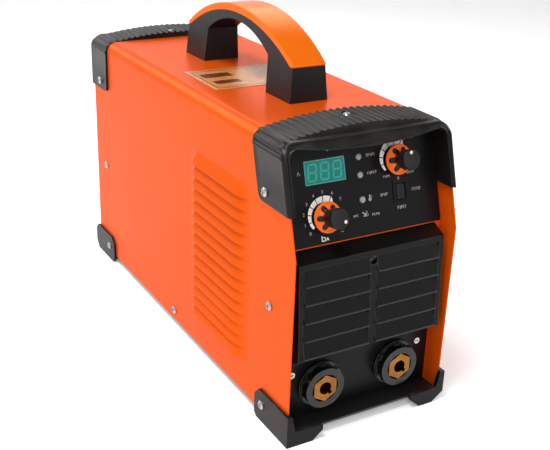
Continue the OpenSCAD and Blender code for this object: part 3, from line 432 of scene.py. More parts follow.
lever_red = material("breaker_red", linear(190, 30, 22), rough=0.3, coat=0.2, mottle=0.07,
    mottle_scale=50, grain=0.08, grain_scale=1200, wear=linear(230, 110, 90), wear_amount=0.4)
rubber_grey = material("gland_nylon", linear(34, 34, 36), rough=0.5, mottle=0.12, mottle_scale=60,
    grain=0.25, grain_scale=1500)


# ---------- cover: one folded sheet with pressed louvers ----------

louver_pitch = 12.14
louver_count = 15
louver_lip_top = datum + 221.0                    # height of the uppermost louver's lip
louver_out = 5.2
louver_front = 79.0
louver_tip = 202.0


def louver_end(t):
    """Setback at which a louver ends, for a share t of the way up it: a blunt point."""
    return louver_tip - 5.5 * (abs(t - 0.36) / (0.36 if t < 0.36 else 0.64))


def smooth(t):
    t = max(0.0, min(1.0, t))
    return t * t * (3 - 2 * t)


def bulge(t, y):
    """How far a louver stands out at a share t up from its lip."""
    s = min(1.0, t / 1.12)
    across = 0.55 * (1 - s) + 0.45 * (1 - smooth(s))
    front = smooth((y - louver_front) / 27)
    rear = smooth((louver_end(t) - y) / 3.2)
    return louver_out * across * front * rear


def cover_rows():
    """Rows up one side: (height, share up a louver or None)."""
    rows = [(case_bottom + rise, None) for rise in (0, 0.6, 7, 23)]
    steps = (0.0, 0.05, 0.14, 0.26, 0.36, 0.5, 0.64, 0.78, 0.9, 1.0)
    for i in range(louver_count - 1, -1, -1):
        lip = louver_lip_top - i * louver_pitch
        rows.append((lip, 0.99 if i < louver_count - 1 else None))
        span = steps + ((1.06, 1.12) if i == 0 else ())
        rows += [(lip + t * louver_pitch, t) for t in span]
    pairs = enumerate(zip(rows, rows[1:]))
    doubled = {k for k, (row, above) in pairs if row[1] == 1.0 and row[0] >= above[0]}
    rows = [row for k, row in enumerate(rows) if k not in doubled]
    return rows + [(datum + 240, None), (datum + 258, None)]


def build_cover():
    fold_columns = 4
    bend_steps, roof_steps = 10, 6        # round each bend, and from a bend to the middle of the top
    fade = [louver_front + 31 * k / 9 for k in range(10)]
    middle = [122, 140, 158, 174]
    tip = [14, 9.5, 6, 4, 2.6, 1.3, 0.5, 0]
    tail = [212, 300, 400, case_len]
    verts, rows = [], cover_rows()
    profile = [(-half_w, z, -1, 0, t) for z, t in rows]
    top_z = case_top - bend_r
    for k in range(bend_steps + 1):
        a = math.radians(180 - 90 / bend_steps * k)
        profile.append((-half_w + bend_r + bend_r * math.cos(a), top_z + bend_r * math.sin(a),
                        math.cos(a), math.sin(a), None))
    for k in range(1, 2 * roof_steps):
        x = (-half_w + bend_r) * (1 - k / roof_steps)
        profile.append((x, case_top, 0, 1, None))
    left_side = profile[:len(rows) + bend_steps + 1]
    profile += [(-x, z, -nx, nz, t) for x, z, nx, nz, t in reversed(left_side)]
    columns = 0
    for x, z, nx, nz, t in profile:
        edge = max(0.0, z - fold_z) * math.tan(lean)
        ys = [edge + (louver_front - 4 - edge) * k / fold_columns for k in range(fold_columns + 1)]
        end = louver_end(t if t is not None else 1.0)
        ys += fade + middle + [end - d for d in tip] + tail
        columns = len(ys)
        for y in ys:
            out = bulge(t, y) if t is not None else 0.0
            verts.append((x + nx * out, front_y + y, z))
    faces = grid_faces(len(profile), columns)
    slit_rows = set()
    for k in range(len(profile) - 1):
        if abs(profile[k][1] - profile[k + 1][1]) < 1e-6 and profile[k][3] == 0 == profile[k + 1][3]:
            slit_rows.add(k)
    faces = [f for f in faces if f[0] // columns not in slit_rows]
    cover = make("cover.shown", verts, faces, angle=48)
    for p in cover.data.polygons:
        if p.center.x * p.normal.x < 0 and abs(p.normal.x) > 0.5:
            cover.data.flip_normals()
            break
    solid = cover.modifiers.new("sheet", "SOLIDIFY")
    solid.thickness = cover_t * MM
    solid.offset = -1
    solid.use_even_offset = False
    return dress(cover, "case", orange_paint, "orange_paint", "cover")


build_cover()


# ---------- hoods: one closed loft each, ribbed crown and legs, smooth band round the mouth ----------

crown_half = 80.0
crown_drop = 7.0                          # from the middle of the crown to its corners
crown_r = (crown_half ** 2 + crown_drop ** 2) / (2 * crown_drop)
corner_r = 12.0
corner_z = crown_z - crown_r + math.sqrt((crown_r - corner_r) ** 2 - crown_half ** 2)
corner_end = 90 + math.degrees(math.asin(crown_half / (crown_r - corner_r)))
mouth_half_w, mouth_corner_r = 85.0, 9.0
mouth_side_z, mouth_mid_z = datum + 287.0, datum + 280.5
mouth_flat = mouth_half_w - mouth_corner_r
rib_pitch = 7.6
flange_end = fascia_d - gap


def rib_at(u):
    """Height of the ribbing at a distance u round the outline: 1 at a crest, 0 in a valley."""
    off = abs(u - rib_pitch * round(u / rib_pitch))
    return max(0.0, (math.sqrt(max(0.0, 6.25 - off * off)) - 1.1) / 1.4) if off < 2.5 else 0.0


def hood_stations():
    """Left half of the outline, from the middle of the crown down: the way round, the outward
    direction, and matched points on the hood, the mouth and both faces of the cover's sheet."""
    stations = []
    offsets = (-3.4, -2.35, -2.1, -1.3, 0.0, 1.3, 2.1, 2.35)
    top_turn = math.asin(crown_half / (crown_r - corner_r))
    top_len = crown_r * top_turn
    corner_len = corner_r * math.radians(180 - corner_end)
    leg_len = corner_z - hood_leg_z
    total = top_len + corner_len + leg_len
    ways = {0.0, total, top_len, top_len + corner_len}
    for k in range(0, 14):
        ways |= {k * rib_pitch + o for o in offsets if 0 < k * rib_pitch + o < total - 22}
    ways |= {total - d for d in (20, 17, 14, 11, 8, 6, 5.2, 4, 3, 2, 1.2, 0.6, 0.25)}
    for u in sorted(ways):
        if u <= top_len:
            t = 1 - u / top_len
            a = u / crown_r
            nx, nz = -math.sin(a), math.cos(a)
            hood = (crown_r * nx, crown_z - crown_r + crown_r * nz)
            x = -mouth_flat * (1 - t)
            mouth = (x, mouth_mid_z + (mouth_side_z - mouth_mid_z) * (1 - t) ** 2)
            flat = half_w - bend_r
            outer = (-flat * (1 - t), case_top + gap)
            inner = (-flat * (1 - t), case_top - cover_t - gap)
        elif u <= top_len + corner_len:
            t = (u - top_len) / corner_len
            a = math.radians(corner_end + (180 - corner_end) * t)
            b = math.radians(90 + 90 * t)
            nx, nz = math.cos(a), math.sin(a)
            hood = (-crown_half + corner_r * nx, corner_z + corner_r * nz)
            mouth = (-mouth_flat + mouth_corner_r * math.cos(b),
                     mouth_side_z - mouth_corner_r + mouth_corner_r * math.sin(b))
            centre = (-(half_w - bend_r), case_top - bend_r)
            outer, inner = ((centre[0] + r * math.cos(b), centre[1] + r * math.sin(b))
                            for r in (bend_r + gap, bend_r - cover_t - gap))
        else:
            t = (u - top_len - corner_len) / leg_len
            nx, nz = -1.0, 0.0
            down = lambda z: z + (hood_leg_z - z) * t
            hood = (-hood_half_w, down(corner_z))
            mouth = (-mouth_half_w, down(mouth_side_z - mouth_corner_r))
            outer = (-half_w - gap, down(case_top - bend_r))
            inner = (-half_w + cover_t + gap, down(case_top - bend_r))
        leg = smooth((u - top_len * 0.96) / (corner_len * 1.2))
        stations.append((u, total, leg, (nx, nz), hood, mouth, outer, inner))
    return stations


def hood_section(station):
    """Closed section at a station, as (x, z, distance behind the cover's edge)."""
    u, total, leg, (nx, nz), hood, mouth, outer, inner = station
    mixed = lambda a, b: a + (b - a) * leg
    ribbed = 1 - smooth((u - (total - 27)) / 6)
    crest, valley = mixed(1.4, 0.3), mixed(-0.5, -0.75)
    rib = valley + (crest - valley) * rib_at(u)
    plain = mixed(0.1, -0.15)
    height = plain + (rib - plain) * ribbed
    left = total - u
    round_off = 6 - math.sqrt(max(0.0, 36 - (6 - left) ** 2)) if left < 6 else 0.0
    rear = hood_depth - round_off
    ridge = mixed(4.0, -0.6)
    points = []
    for d, share in ((rear, 0.55), (rear - 0.7, 1.0), (rear - 8, 1.0), (24, 1.0), (ridge + 7, 1.0),
                     (ridge + 3.2, 0.95), (ridge + 1.4, 0.6), (ridge + 0.4, 0.15)):
        points.append((hood[0] + nx * height * share, hood[1] + nz * height * share, d))
    # band round the mouth: distance behind the cover's edge, and share of the way from hood to mouth
    top_band = ((4.0, .13), (3.1, .20), (1.6, .33), (0.2, .47), (-1.1, .61), (-2.0, .72), (-2.5, .79),
                (-2.7, .825), (-2.95, .84), (-3.6, .87), (-3.95, .92), (-3.8, .97), (-3.2, 1.0))
    leg_band = ((-0.9, .06), (-2.3, .16), (-3.3, .29), (-3.7, .42), (-3.5, .54), (-3.0, .62), (-2.3, .67),
                (-2.0, .70), (-2.3, .74), (-2.9, .80), (-3.2, .88), (-3.0, .96), (-2.4, 1.0))
    for (d0, f0), (d1, f1) in zip(top_band, leg_band):
        d, f = mixed(d0, d1), mixed(f0, f1)
        points.append((hood[0] + (mouth[0] - hood[0]) * f, hood[1] + (mouth[1] - hood[1]) * f, d))
    notch = 0.45 * rib_at(u) * smooth((u - 72) / 8) * (1 - smooth((u - 118) / 6))
    for d, share in ((0.5, 0), (2.5, 1), (14.5, 1), (16.5, 0)):
        points.append((mouth[0] - nx * notch * share, mouth[1] - nz * notch * share, d))
    ends = ((mouth, flange_end), (inner, flange_end), (inner, -gap), (outer, -gap), (outer, rear))
    return points + [(*point, d) for point, d in ends]


def build_hood(node, tilt, rear, screw_setback):
    half = hood_stations()
    sections = [hood_section(s) for s in half]
    mirrored = [[(-x, z, d) for x, z, d in s] for s in sections[1:]]
    loops = list(reversed(mirrored)) + sections
    size = len(loops[0])
    verts = []
    for loop in loops:
        for x, z, d in loop:
            setback = (z - fold_z) * math.tan(tilt) + d / math.cos(tilt)
            verts.append((x, front_y + (case_len - setback if rear else setback), z))
    faces = grid_faces(len(loops), size, close_cols=True)
    faces += [tuple(range(size)), tuple(range(len(verts) - size, len(verts)))]
    bm = bmesh.new()
    points = [bm.verts.new(Vector(v) * MM) for v in verts]
    for f in faces:
        bm.faces.new([points[i] for i in f])
    bmesh.ops.recalc_face_normals(bm, faces=bm.faces)
    bmesh.ops.triangulate(bm, faces=[f for f in bm.faces if len(f.verts) > 4])
    hood = finish_mesh(node + ".shown", bm, 40)
    cutter = lathe("cutter", [(0, 0), (5.6, 0), (5.6, 12), (0, 12)], 48)
    seat_z = crown_z + 1.4 - 3.6
    cutter.data.transform(Matrix.Translation(Vector((0, front_y + screw_setback, seat_z)) * MM))
    cut(hood, cutter)
    resharpen(hood, 40)
    return dress(hood, "case", hood_plastic, "black_plastic", node)


def resharpen(obj, angle):
    bm = bmesh.new()
    bm.from_mesh(obj.data)
    sharpen(bm, angle)
    bm.to_mesh(obj.data)
    bm.free()


build_hood("front_hood", lean, False, (case_top - fold_z) * math.tan(lean) + screw_from_edge)
build_hood("rear_hood", 0.0, True, case_len - screw_from_edge)


# ---------- handle, feet, grille, plates ----------

polished("handle_body", "case", handle_plastic, "black_plastic", 1.7, 3)
polished("handle_strap", "case", strap_plastic, "orange_plastic", 2.6, 4)
rear_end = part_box("foot_rear_left")[1].y / MM
rear_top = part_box("foot_rear_left")[1].z / MM
rear_trims = (((0, rear_end, 9), (0, 0.75, -0.66)), ((0, rear_end, rear_top - 7), (0, 0.7, 0.7)))
foot_trims = {
    "front_left": (),
    "front_right": (((hood_half_w, 0, 10), (0.6, 0, -0.8)),),
    "rear_left": rear_trims,
    "rear_right": rear_trims,
}
for corner, trims in foot_trims.items():
    polished("foot_" + corner, "case", foot_plastic, "black_plastic", 1.5, 3, planes=trims)
polished("front_grille", "case", grille_plastic, "black_plastic", 0.45, 2)
# lighter grey than the grille's plastic: painted highlight along the slat lips
lip_highlight_plastic = material("slat_lip_painted_highlight", linear(44, 42, 40), rough=0.30, specular=0.35, mottle=0.02,
    mottle_scale=80, rough_vary=0.02, grain=0.08, grain_scale=1800)


slat_count, slat_first_z, slat_pitch = 5, 164.5, 17.8


def slat_lips():
    """The rounded lower lip of each slat, in a lighter grey than the grille: a painted highlight along each
    lip.
    """
    for side, x in (("left", -39.5), ("right", 39.5)):
        bm = bmesh.new()
        for k in range(slat_count):
            z = datum + slat_first_z - slat_pitch * k
            y = front_y + 3.0 - 1.15 * k      # the grille's front leans out towards the bottom
            size = Matrix.Diagonal((70.6 * MM, 0.9 * MM, 1.3 * MM, 1))
            spot = Matrix.Translation(Vector((x, y, z + 0.5)) * MM)
            bmesh.ops.create_cube(bm, size=1, matrix=spot @ size)
        bevel_bm(bm, 0.4, 3)
        dress(finish_mesh("slat_lip_highlight_" + side, bm, 50), "case", lip_highlight_plastic, "black_plastic")


slat_lips()
polished("front_plate", "case", orange_paint, "orange_paint", 0.25, 2)
polished("rear_plate", "case", orange_paint, "orange_paint", 0.25, 2)
polished("socket_panel", "case", panel_film, "fascia_plastic", 0.25, 2)
polished("control_fascia", "case", fascia_film, "fascia_plastic", 0.3, 2)
polished("base_tray", "case", black_paint, "black_paint", 0.3, 2)
for side in ("plus", "minus"):
    polished("socket_collar_" + side, "case", collar_plastic, "black_plastic", 0.9, 3)
    polished("socket_contact_" + side, "case", brass, "brass", 0.5, 3)


# ---------- screws ----------

for node in ("cover_screws", "hood_screws", "foot_screws", "grille_screw", "fan_screws", "handle_screws"):
    polished(node, "case", dark_screw if node == "grille_screw" else zinc, "screw_steel", 0.25, 2)


# ---------- control panel ----------

slope = slope_matrix()
current_at, force_at = (-44.0, 31.5), (38.5, 72.0)
fascia_foot = plate_setback * math.sin(lean) + 1.2    # lower edge of the fascia, up the slope
skirt_r, cap_r, knob_h = 14.25, 9.5, 22.0
knob_lift = 5.0                           # of the skirt above the fascia
pointer_r = 6.6                           # from the knob's axis to its pointer dot


def on_panel(obj, x, s, out=0.0, turn=0.0):
    return place(obj, slope, (x, s, out), turn)


def build_knob(prefix, body, at, pointer):
    """Dished orange skirt, six dark fingers on it, and a tall dark cap with a pointer dot."""
    skirt = lathe(prefix + "_skirt.shown",
                  [(5.2, 0.55), (13.2, 0.5), (13.9, 0.75), (skirt_r, 1.4), (skirt_r, 2.5), (14.0, 3.1),
                   (13.5, 3.4), (12.9, 3.3), (12.2, 3.0), (10.5, 3.25), (8.5, 4.1), (7.4, 5.4), (6.9, 7.5),
                   (5.2, 7.5), (5.2, 0.55)], 128, 50)
    dress(on_panel(skirt, *at, knob_lift), body, skirt_plastic, "orange_plastic", prefix + "_skirt")
    edge = 0.9                            # of the cap's rounded rim
    side = [(0, 4.4), (6.9, 4.4), (7.4, 6.0), (8.2, 8.2), (8.8, 10.5), (9.2, 14), (9.3, knob_h - 4.5)]
    side += [(cap_r - inset, knob_h - drop) for inset, drop in (
        (0, 3.2), (0, edge + 0.6), (0.12, edge + 0.1), (0.45, 0.35), (edge, 0.12), (1.6, 0.1), (1.9, 0.32),
        (2.1, 0.42))]
    cap = lathe(prefix + "_cap", side + [(0, knob_h - 0.36)], 128, 50)
    dress(on_panel(cap, *at, knob_lift), body, knob_plastic, "black_plastic", prefix)
    for k in range(6):
        turn = pointer + 30 + 60 * k
        verts, rows = [], 14
        for i in range(rows + 1):
            t = i / rows
            y = 4.5 + t * 7.7
            half = 2.1 + 0.5 * smooth((y - 5) / 4)
            if y > 9.6:                   # the blunt round end
                half = 2.6 * math.sqrt(max(0.0, 1 - ((y - 9.6) / 2.6) ** 2))
            top = 8.4 - 4.3 * smooth(t * 1.15)
            section = ((-1, 2.9), (-1, top - 0.7), (-0.82, top - 0.15), (-0.4, top + 0.1), (0, top + 0.18),
                       (0.4, top + 0.1), (0.82, top - 0.15), (1, top - 0.7), (1, 2.9))
            verts += [(h * half, y, z) for h, z in section]
        faces = grid_faces(rows + 1, 9, close_cols=True)
        faces += [tuple(range(9)), tuple(range(rows * 9, rows * 9 + 9))]
        finger = make(f"{prefix}_finger_{k + 1}", verts, faces, 50)
        dress(on_panel(finger, *at, knob_lift, turn), body, knob_plastic, "black_plastic")
    dot = [(0, 0.18), (0.9, 0.12), (1.35, -0.1), (1.45, -0.5), (0, -0.6)]
    ring = [(1.5, -0.5), (1.5, -0.12), (1.7, -0.02), (2.1, -0.05), (2.25, -0.3), (2.25, -0.5), (1.5, -0.5)]
    for suffix, outline, segments, mat in (("_pointer", dot, 40, white_print),
                                           ("_pointer_ring", ring, 48, foil_dark)):
        mark = lathe(prefix + suffix, [(r, knob_h + z) for r, z in outline], segments, 50)
        mark.data.transform(Matrix.Translation(Vector((0, pointer_r, 0)) * MM))
        dress(on_panel(mark, *at, knob_lift, pointer), body, mat, "orange_plastic")


build_knob("current_knob", "current_dial", current_at, -122)
build_knob("force_knob", "force_dial", force_at, 0)
for node in ("current_shaft", "force_shaft"):
    polished(node, node.split("_")[0] + "_dial", zinc, "screw_steel", 0.2, 2)


def prints(name, outlines, material=white_print, raise_by=0.06):
    """Printed marks: thin raised shapes on the panel."""
    obj = plate(name, outlines, min(0.0, raise_by), max(0.0, raise_by))
    return dress(on_panel(obj, 0, 0, 0.0), "case", material, "fascia_plastic")


prints("fascia_lower_lip", [rect(0, fascia_foot - 0.35, 2 * (half_w - 3), 0.9)], fascia_film, -1.4)


def scale_ring(at, outer_start, outer_end):
    """Seven segments that grow clockwise from the lower left; the last one runs out to a point."""
    cx, cy = at
    bands = []
    for k in range(7):
        a0, a1 = 220 - 26.5 * k - 1.6, 220 - 26.5 * (k + 1) + 1.6
        grow = lambda a: outer_start + (outer_end - outer_start) * (220 - a) / 159
        bands.append(arc_band(cx, cy, 13.0, (grow(a0), grow(a1) if k < 6 else 13.2), a0, a1, 8))
    return bands


prints("current_scale_ring", scale_ring(current_at, 15.4, 19.4))
prints("force_scale_ring", scale_ring(force_at, 15.0, 20.6))


def digit_mesh(name, text, height):
    """A flat number, centred."""
    curve = bpy.data.curves.new(name, "FONT")
    curve.body = text
    curve.size = height * MM * 1.4
    curve.extrude = 0.03 * MM
    curve.offset = 0.05 * MM
    curve.align_x, curve.align_y = "CENTER", "CENTER"
    holder = bpy.data.objects.new(name, curve)
    bpy.context.scene.collection.objects.link(holder)
    bpy.context.view_layer.update()
    mesh = bpy.data.meshes.new_from_object(holder.evaluated_get(bpy.context.evaluated_depsgraph_get()))
    bpy.data.objects.remove(holder)
    obj = bpy.data.objects.new(name, mesh)
    bpy.context.scene.collection.objects.link(obj)
    return obj


for k in range(8):
    a = math.radians(220 - 26.5 * k)
    reach = 20.2 + 0.42 * k
    digit = digit_mesh(f"current_scale_{k}", str(k), 2.9)
    on_panel(digit, current_at[0] + reach * math.cos(a), current_at[1] + reach * math.sin(a), 0.04)
    dress(digit, "case", grey_print, "fascia_plastic")


def word(x, s, width, height, seed):
    """A row of small strokes where a caption stands, with no letters in it."""
    marks, at, k = [], x - width / 2, seed
    while at < x + width / 2 - 0.6:
        w = (1.5, 1.9, 1.3, 1.7)[k % 4]
        w = min(w, x + width / 2 - at)
        bar = 0.42
        parts = [rect(at + bar / 2, s, bar, height)]
        if k % 3 != 1:
            rise, share = (0.25, 0.5) if k % 2 else (0, 1)
            parts.append(rect(at + w - bar / 2, s + rise * height, bar, share * height))
        if k % 4 != 2:
            parts.append(rect(at + w / 2, s + height / 2 - bar / 2, w - 2 * bar, bar))
        if k % 2:
            parts.append(rect(at + w / 2, s, w - 2 * bar, bar))
        else:
            parts.append(rect(at + w / 2, s - height / 2 + bar / 2, w - 2 * bar, bar))
        marks += parts
        at += w + 0.55
        k += 1
    return marks


prints("caption_marks", word(12.2, 79.9, 9.5, 2.5, 0) + word(12.0, 63.4, 10.0, 2.5, 1)
       + word(-9.5, 26.4, 6.0, 2.0, 2) + word(12.6, 24.8, 9.0, 2.2, 3) + word(28.0, 57.4, 7.6, 2.1, 1)
       + word(55.4, 57.6, 8.6, 2.0, 2) + word(23.4, 41.2, 8.4, 2.5, 0) + word(61.2, 41.3, 11.4, 2.9, 3)
       + word(42.0, 26.6, 9.6, 3.0, 1), grey_print)


def stroke(x0, y0, x1, y1, w):
    """Outline of a straight stroke of width w."""
    dx, dy = x1 - x0, y1 - y0
    length = math.hypot(dx, dy)
    nx, ny = -dy / length * w / 2, dx / length * w / 2
    return [(x0 + nx, y0 + ny), (x0 - nx, y0 - ny), (x1 - nx, y1 - ny), (x1 + nx, y1 + ny)]


prints("panel_symbols",
       [rect(-26.1, 15.0, 2.4, 0.6), stroke(-67.0, 71.2, -65.6, 74.6, 0.5),
        stroke(-64.2, 71.2, -65.5, 74.6, 0.5), rect(-33.5, 90.4, 2.2, 2.4, 0.4),
        rect(7.2, 41.9, 1.5, 3.6, 0.7), disc(7.2, 39.2, 1.6),
        rect(9.2, 42.6, 1.0, 0.5), rect(9.2, 41.2, 1.0, 0.5),
        stroke(39.6, 52.4, 40.9, 55.8, 0.5), stroke(42.2, 52.4, 41.0, 55.8, 0.5),
        stroke(39.9, 53.2, 41.9, 53.2, 0.4)], grey_print)
prints("arc_symbol",
       [stroke(-2.6, 28.4, 1.6, 26.2, 1.1), stroke(-1.6, 24.6, 2.4, 27.4, 0.9), disc(0.6, 25.8, 1.5),
        stroke(1.4, 29.6, 3.0, 27.6, 0.6), stroke(2.6, 24.2, 4.0, 26.0, 0.6)], grey_print)
prints("coil_symbol",
       [rect(-48.2, 12.0, 0.8, 5.2), rect(-46.6, 9.8, 3.4, 0.8), rect(-45.0, 11.4, 0.8, 3.2),
        rect(-46.6, 12.9, 3.0, 0.6), stroke(-43.8, 9.6, -42.4, 12.6, 0.7),
        stroke(-42.4, 12.6, -41.0, 9.6, 0.7), rect(-42.3, 10.6, 1.8, 0.6)], white_print)


# ---------- display, indicators, selector ----------

display_at, display_w, display_h = (-37.7, 72.0), 43.2, 22.2


def digit_bar(x, y, length, thick, upright):
    """Outline of one bar of a digit, with a blunt point at each end."""
    half, e = length / 2, thick / 2
    tip = half + 0.6 * e
    shape = [(-tip, 0), (-half, -e), (half, -e), (tip, 0), (half, e), (-half, e)]
    return [(x - c, y + a) if upright else (x + a, y + c) for a, c in shape]


def build_display():
    cx, cy = display_at
    face = -0.3
    glass = rect(0, 0, display_w - 0.5, display_h - 0.5, 0.6)
    window = plate("display_window.shown", [glass], face - 1.2, face, 0.12)
    dress(on_panel(window, cx, cy), "case", window_teal, "teal_window", "display_window")
    bars = []
    w, h, thick, slant = 8.2, 14.6, 1.7, 0.07
    for k in (-1, 0, 1):
        x0 = k * 13.2 - 0.2
        digit = [digit_bar(0, y, w - 1.6, thick, False) for y in (h / 2, 0, -h / 2)]
        digit += [digit_bar(x, y, h / 2 - 1.6, thick, True) for y in (h / 4, -h / 4) for x in (-w / 2, w / 2)]
        bars += [[(x0 + x + y * slant, y) for x, y in bar] for bar in digit]
    digits = plate("display_digits", bars, face - 0.1, face + 0.04)
    dress(on_panel(digits, cx, cy), "case", segment_teal, "teal_window")
    line = 0.8                            # width of the rim's four bars
    rim_x, rim_y = display_w / 2 - 0.75, display_h / 2 - 0.75
    rim = [rect(0, y, display_w - line, line) for y in (-rim_y, rim_y)]
    rim += [rect(x, 0, line, display_h - 3 * line) for x in (-rim_x, rim_x)]
    border = plate("display_rim", rim, face - 0.1, face + 0.05)
    dress(on_panel(border, cx, cy), "case", frame_teal, "teal_window")


build_display()

lens_shape = [(0, -8), (2.5, -8), (2.5, 0.02), (3.1, 0.02), (3.1, 0.35), (2.95, 0.7), (2.5, 1.15),
              (1.7, 1.5), (0.8, 1.66), (0, 1.7)]
for k, s in enumerate((79.7, 63.1, 40.2)):
    lens = lathe(f"indicator_lens_{k + 1}", lens_shape, 56, 50)
    on_panel(lens, -1.1, s)
    dress(lens, "case", lens_grey, "lens_plastic", *(["indicator_lenses"] if k == 0 else []))

polished("selector_housing", "case", fascia_film, "black_plastic", 0.35, 2)
polished("selector_rocker", "selector", knob_plastic, "black_plastic", 0.5, 3)


# ---------- socket panel marks ----------

def front_print(name, outlines, material):
    obj = plate(name, outlines, 0.0, 0.08)
    place(obj, front_matrix(0, panel_face, 0))
    return dress(obj, "case", material, "fascia_plastic")


sign_x, sign_z = 73.5, 64.2               # of the polarity signs, one on each side
sign_dots = [disc(x, datum + sign_z, 3.3, 40) for x in (-sign_x, sign_x)]
front_print("polarity_dots", sign_dots, white_print)
sign_bars = [rect(-sign_x, 0, 3.8, 0.9), rect(-sign_x, 1.2, 0.9, 1.5), rect(-sign_x, -1.2, 0.9, 1.5),
             rect(sign_x, 0, 3.8, 0.9)]
plus_minus = plate("polarity_signs", sign_bars, 0.06, 0.14)
place(plus_minus, front_matrix(0, panel_face, datum + sign_z))
dress(plus_minus, "case", panel_film, "fascia_plastic")


# ---------- plate on the top, under the handle ----------

def build_info_plate():
    y0, y1, half, z = 203.5, 280.5, 64.0, case_top
    mid = (y0 + y1) / 2
    base = plate("info_plate.shown", [rect(0, mid, 2 * half, y1 - y0, 2.0)], 0.0, 0.45, 0.12)
    marks = [rect(0, y0 + 5.4, 2 * half - 9, 1.3), rect(0, y1 - 5.4, 2 * half - 9, 1.3),
             rect(-half + 5.2, mid, 1.3, y1 - y0 - 12.1), rect(half - 5.2, mid, 1.3, y1 - y0 - 12.1)]
    blocks = [rect(-38, mid + 14, 34, 15, 1), rect(-38, mid - 13, 30, 12, 1), rect(40, mid - 17, 32, 16, 1),
              rect(42, mid + 12, 28, 14, 1)]
    top = Matrix.Translation(Vector((0, front_y, z + 0.02)) * MM)
    for obj, mat in ((base, foil_tan), (plate("info_plate_frame", marks, 0.44, 0.50), foil_dark),
                     (plate("info_plate_blocks", blocks, 0.44, 0.49), foil_dark)):
        obj.data.transform(top)
        dress(obj, "case", mat, "plate_tan", *(["info_plate"] if obj is base else []))


build_info_plate()


# ---------- rear equipment and the electronics inside ----------

def finish_node(node, material, width=0.3):
    """A CAD part shown as it is, with its edges eased by modifiers."""
    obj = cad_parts[node]
    obj.data.materials.clear()
    obj.data.materials.append(material)
    obj.data.polygons.foreach_set("use_smooth", [True] * len(obj.data.polygons))
    weld = obj.modifiers.new("weld", "WELD")
    weld.merge_threshold = 2e-6
    ease = obj.modifiers.new("ease", "BEVEL")
    ease.width = width * MM
    ease.segments = 2
    ease.limit_method = "ANGLE"
    ease.angle_limit = math.radians(32)
    ease.harden_normals = True
    return obj


for node, mat, slot_name, width in (
        ("fan_guard", black_paint, "black_paint", 0.4),
        ("fan_frame", electronics, "black_plastic", 0.4),
        ("fan_rotor", rubber_grey, "black_plastic", 0.3),
        ("breaker_body", electronics, "black_plastic", 0.6),
        ("breaker_lever", lever_red, "lever_red", 0.8),
        ("cable_gland", rubber_grey, "black_plastic", 0.5),
        ("gland_nut", rubber_grey, "black_plastic", 0.4),
        ("earth_stud", zinc, "screw_steel", 0.3),
        ("rating_plate", aluminium, "bare_aluminium", 0.1),
        ("heat_sink_left", aluminium, "bare_aluminium", 0.2),
        ("heat_sink_right", aluminium, "bare_aluminium", 0.2),
        ("power_board", board_green, "circuit_board", 0.1),
        ("control_board", board_green, "circuit_board", 0.1),
        ("transistors", electronics, "dark_electronics", 0.2),
        ("capacitors", sleeve_blue, "capacitor_sleeve", 0.8),
        ("bridge_rectifier", electronics, "dark_electronics", 0.4),
        ("transformer_core", ferrite, "ferrite", 0.5),
        ("transformer_winding", copper, "copper", 0.8),
        ("output_inductor", copper, "copper", 0.2),
        ("potentiometers", zinc, "screw_steel", 0.2),
        ("bus_bars", copper, "copper", 0.3),
        ("board_standoffs", nylon, "nylon", 0.3),
        ("display_module", electronics, "dark_electronics", 0.2)):
    finish_node(node, mat, width)


# ---------- floor, light, camera ----------

def build_stage():
    """Pale round floor that curves up into a wall all the way round."""
    steps, flat, curve, wall_top = 16, 3000, 900, 3800
    angles = [math.pi / 2 * k / steps for k in range(1, steps + 1)]
    profile = [(0, 0), (flat, 0)]
    profile += [(flat + curve * math.sin(a), curve - curve * math.cos(a)) for a in angles]
    return lathe("studio_floor", profile + [(flat + curve, wall_top)], 96, 60)


paper = material("studio_paper", linear(252, 252, 252), rough=0.9, specular=0.1, mottle=0.01,
    mottle_scale=2, rough_vary=0.03, grain=0.03, grain_scale=500, emission=(1, 1, 1, 0.20))
floor = build_stage()
floor.data.materials.append(paper)


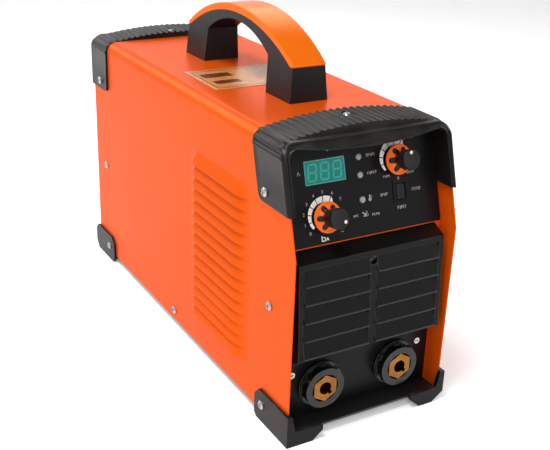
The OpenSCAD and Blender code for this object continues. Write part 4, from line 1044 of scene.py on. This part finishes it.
def area_light(name, where, towards, size, energy, color=(1, 1, 1)):
    data = bpy.data.lights.new(name, "AREA")
    data.shape = "RECTANGLE"
    data.size, data.size_y = size
    data.energy = energy
    data.color = color
    light = bpy.data.objects.new(name, data)
    light.location = Vector(where)
    light.rotation_mode = "QUATERNION"
    light.rotation_quaternion = (Vector(towards) - Vector(where)).to_track_quat("-Z", "Y")
    light.visible_camera = False
    bpy.context.scene.collection.objects.link(light)
    return light


area_light("key", (-0.6, -1.4, 1.3), (0, -0.15, 0.15), (0.6, 0.6), 8)
area_light("top", (-0.75, -0.35, 2.3), (0, 0, 0.2), (0.8, 0.8), 40)
area_light("front_fill", (1.3, -1.8, 1.0), (0, 0, 0.15), (1.2, 1.2), 3)
area_light("back_left", (-0.75, 1.35, 1.1), (0, 0, 0.2), (1.1, 0.8), 9)
area_light("back_right", (0.75, 1.3, 1.3), (0, 0, 0.2), (1.0, 0.8), 5)

world = bpy.data.worlds.new("studio")
world.use_nodes = True
world.node_tree.nodes["Background"].inputs["Color"].default_value = (1, 1, 1, 1)
world.node_tree.nodes["Background"].inputs["Strength"].default_value = 0.05
bpy.context.scene.world = world
bpy.context.scene.view_settings.view_transform = "Standard"

# where the camera of the photograph stood, the way behind it, its roll and its lens
camera_at = (-474.6, -863.0, datum + 541.7)
camera_back = (-0.468, -0.790, 0.396)
camera_roll = math.radians(2.156)
camera_lens = 61.36
camera_data = bpy.data.cameras.new("camera")
camera_data.sensor_width = 36
camera_data.lens = camera_lens
camera_data.clip_start, camera_data.clip_end = 0.05, 50
camera = bpy.data.objects.new("camera", camera_data)
bpy.context.scene.collection.objects.link(camera)
back = Vector(camera_back).normalized()
across = (-back).cross(Vector((0, 0, 1))).normalized()
above = across.cross(-back)
side_axis = across * math.cos(camera_roll) + above * math.sin(camera_roll)
up_axis = back.cross(side_axis)
pose = Matrix((side_axis, up_axis, back)).transposed().to_4x4()
pose.translation = Vector(camera_at) * MM
camera.matrix_world = pose
bpy.context.scene.camera = camera
